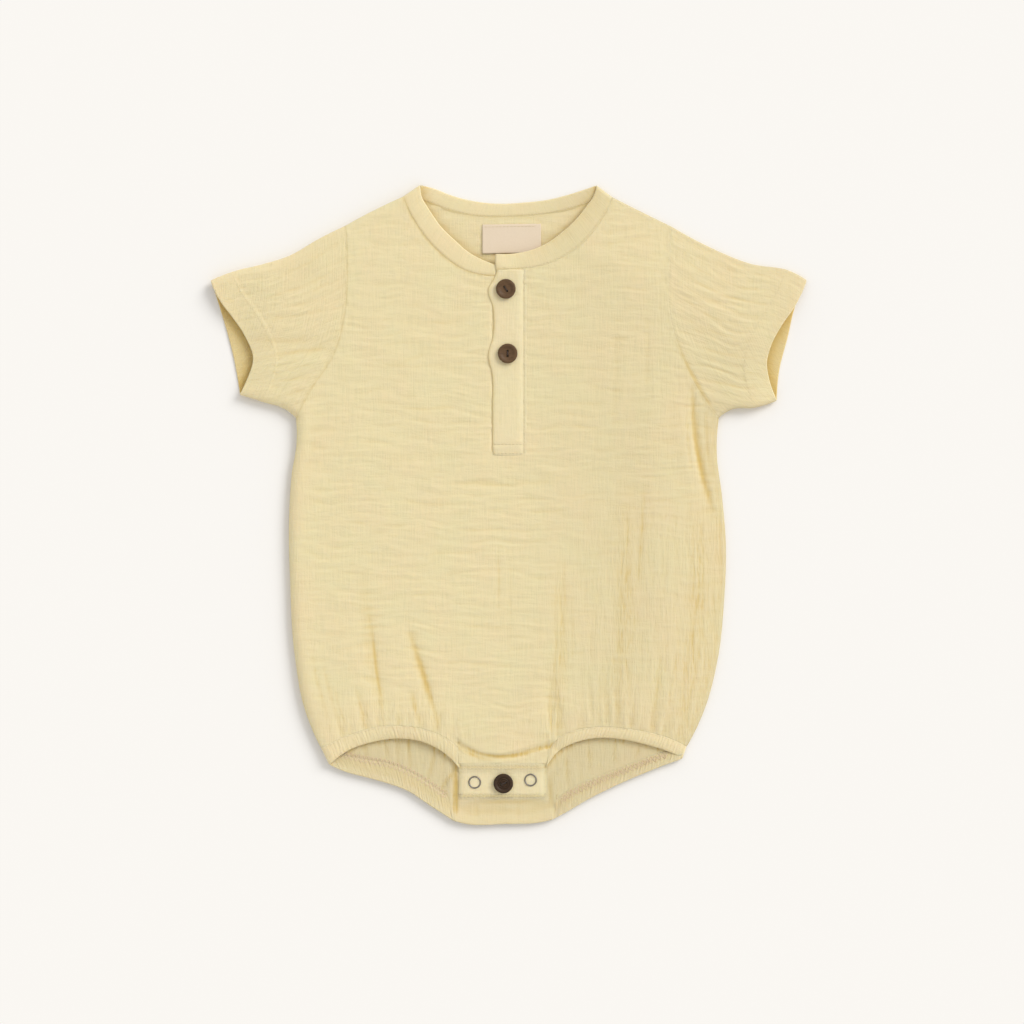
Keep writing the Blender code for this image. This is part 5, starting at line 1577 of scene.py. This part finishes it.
stripTree = treeOf(placketUpper)
sewn = bmesh.new()
sewLine(sewn, stripTree, straight((9.3, placket["bottom"] + 1.2), (9.3, placket["top"] - 1.5)))
for y in (placket["bottom"] + 0.9, placket["bottom"] + 6.5):
    sewLine(sewn, stripTree, straight((-8.8, y), (9.3, y)), 0.18)
sewLine(sewn, stripTree, straight((-8.8, placket["bottom"] + 0.9), (-8.8, placket["bottom"] + 6.5)))
placketSewing = finishSewing("placket_stitches", sewn, threadFinish)

sewn = bmesh.new()
for y in (-157.6, -159.2, -175.0, -176.6):
    sewLine(sewn, tabTree, straight((tab["left"] + 1, y), (tab["right"] - 1, y)), 0.17)
tabSewing = finishSewing("tab_stitches", sewn, threadFinish)

sewn = bmesh.new()
bandTree = treeOf(neckband)
sewLine(sewn, bandTree, besideSeam(neck["back"], 0.12, 0.09, 0.91))
sewLine(sewn, bandTree, besideSeam(neck["frontLeft"], 0.1, 0.09, 0.97))
sewLine(sewn, bandTree, besideSeam(neck["frontRight"], 0.1, 0.09, 0.97))
neckSewing = finishSewing("neckband_stitches", sewn, threadFinish)

for name, piece in (("sleeve_left", sleeveLeft), ("sleeve_right", sleeveRight)):
    sewn = bmesh.new()
    sewLine(sewn, treeOf(piece), hemLine(name), 0.09)
    finishSewing(name + "_hem_stitches", sewn, threadFinish)

casingSewing = {}
for name, piece in (("leg_casing_left", casingLeft), ("leg_casing_right", casingRight)):
    sewn = bmesh.new()
    tree = treeOf(piece)
    sewLine(sewn, tree, besideSeam(legs[name]["front"], 0.1, 0.04, 0.99), 0.08)
    casingSewing[name] = [finishSewing(name + "_stitches", sewn, threadFinish)]
    sewn = bmesh.new()
    tree = treeOf(piece, back)
    for share, width, pitch in ((0.22, 2.4, 1.5), (0.02, 2.6, 1.3)):
        sewZigzag(sewn, tree, besideSeam(legs[name]["back"], share, 0.14, 0.97), width, pitch)
    casingSewing[name].append(finishSewing(name + "_overlock", sewn, overlockFinish))

sewn = bmesh.new()
labelTree = treeOf(neckLabel)
sewLine(sewn, labelTree, straight((label["left"] + 1.2, label["top"] - 1.3), (label["right"] - 1.2, label["top"] - 0.8)))
labelSewing = finishSewing("label_stitches", sewn, threadFinish)
print("sewing made")


# ---- floor, light and camera ----

studio = {
    "floor": (0.880, 0.856, 0.818),
    "world": (1.0, 1.0, 1.0),
    "worldStrength": 0.755,
    "keyFrom": (0.60, 0.50, 0.56),  # from the upper right of the picture
    "keyStrength": 1.82,
    "keyAngle": 32,
    "cameraHeight": 2.0,
    "frameWidth": 0.6144,
    "centre": (0.0021, -0.0051),
}


def buildStudio():
    made, nodes, links, shader = newMaterial("pale floor")
    place = nodes.new("ShaderNodeTexCoord")
    cloud = noiseNode(nodes, links, place.outputs["Object"], 3.0, 2.0)
    slightly = tuple(channel * 0.995 for channel in studio["floor"])
    links.new(mixColour(nodes, links, cloud, studio["floor"], slightly), shader.inputs["Base Color"])
    shader.inputs["Roughness"].default_value = 1.0
    shader.inputs["Specular IOR Level"].default_value = 0.0
    bpy.ops.mesh.primitive_plane_add(size=6, location=(0, 0, -0.0002))
    floor = bpy.context.object
    floor.name = "floor"
    floor.data.materials.append(made)
    floor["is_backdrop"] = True
    world = bpy.data.worlds.new("studio")
    world.use_nodes = True
    background = world.node_tree.nodes["Background"]
    background.inputs["Color"].default_value = (*studio["world"], 1)
    background.inputs["Strength"].default_value = studio["worldStrength"]
    bpy.context.scene.world = world
    lamp = bpy.data.lights.new("key", "SUN")
    lamp.energy = studio["keyStrength"]
    lamp.angle = math.radians(studio["keyAngle"])
    key = bpy.data.objects.new("key", lamp)
    key.rotation_euler = (-Vector(studio["keyFrom"])).to_track_quat("-Z", "Y").to_euler()
    bpy.context.scene.collection.objects.link(key)
    lens = bpy.data.cameras.new("camera")
    lens.sensor_width = 36
    lens.lens = 18 * studio["cameraHeight"] / (studio["frameWidth"] / 2)
    camera = bpy.data.objects.new("camera", lens)
    camera.location = (*studio["centre"], studio["cameraHeight"] + 0.005)
    bpy.context.scene.collection.objects.link(camera)
    bpy.context.scene.camera = camera
    bpy.context.scene.view_settings.view_transform = "Standard"


buildStudio()
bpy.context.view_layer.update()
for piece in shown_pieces():
    if piece.type == "MESH":
        piece.data.calc_loop_triangles()
        print(piece.name, len(piece.data.loop_triangles))
print("scene made")
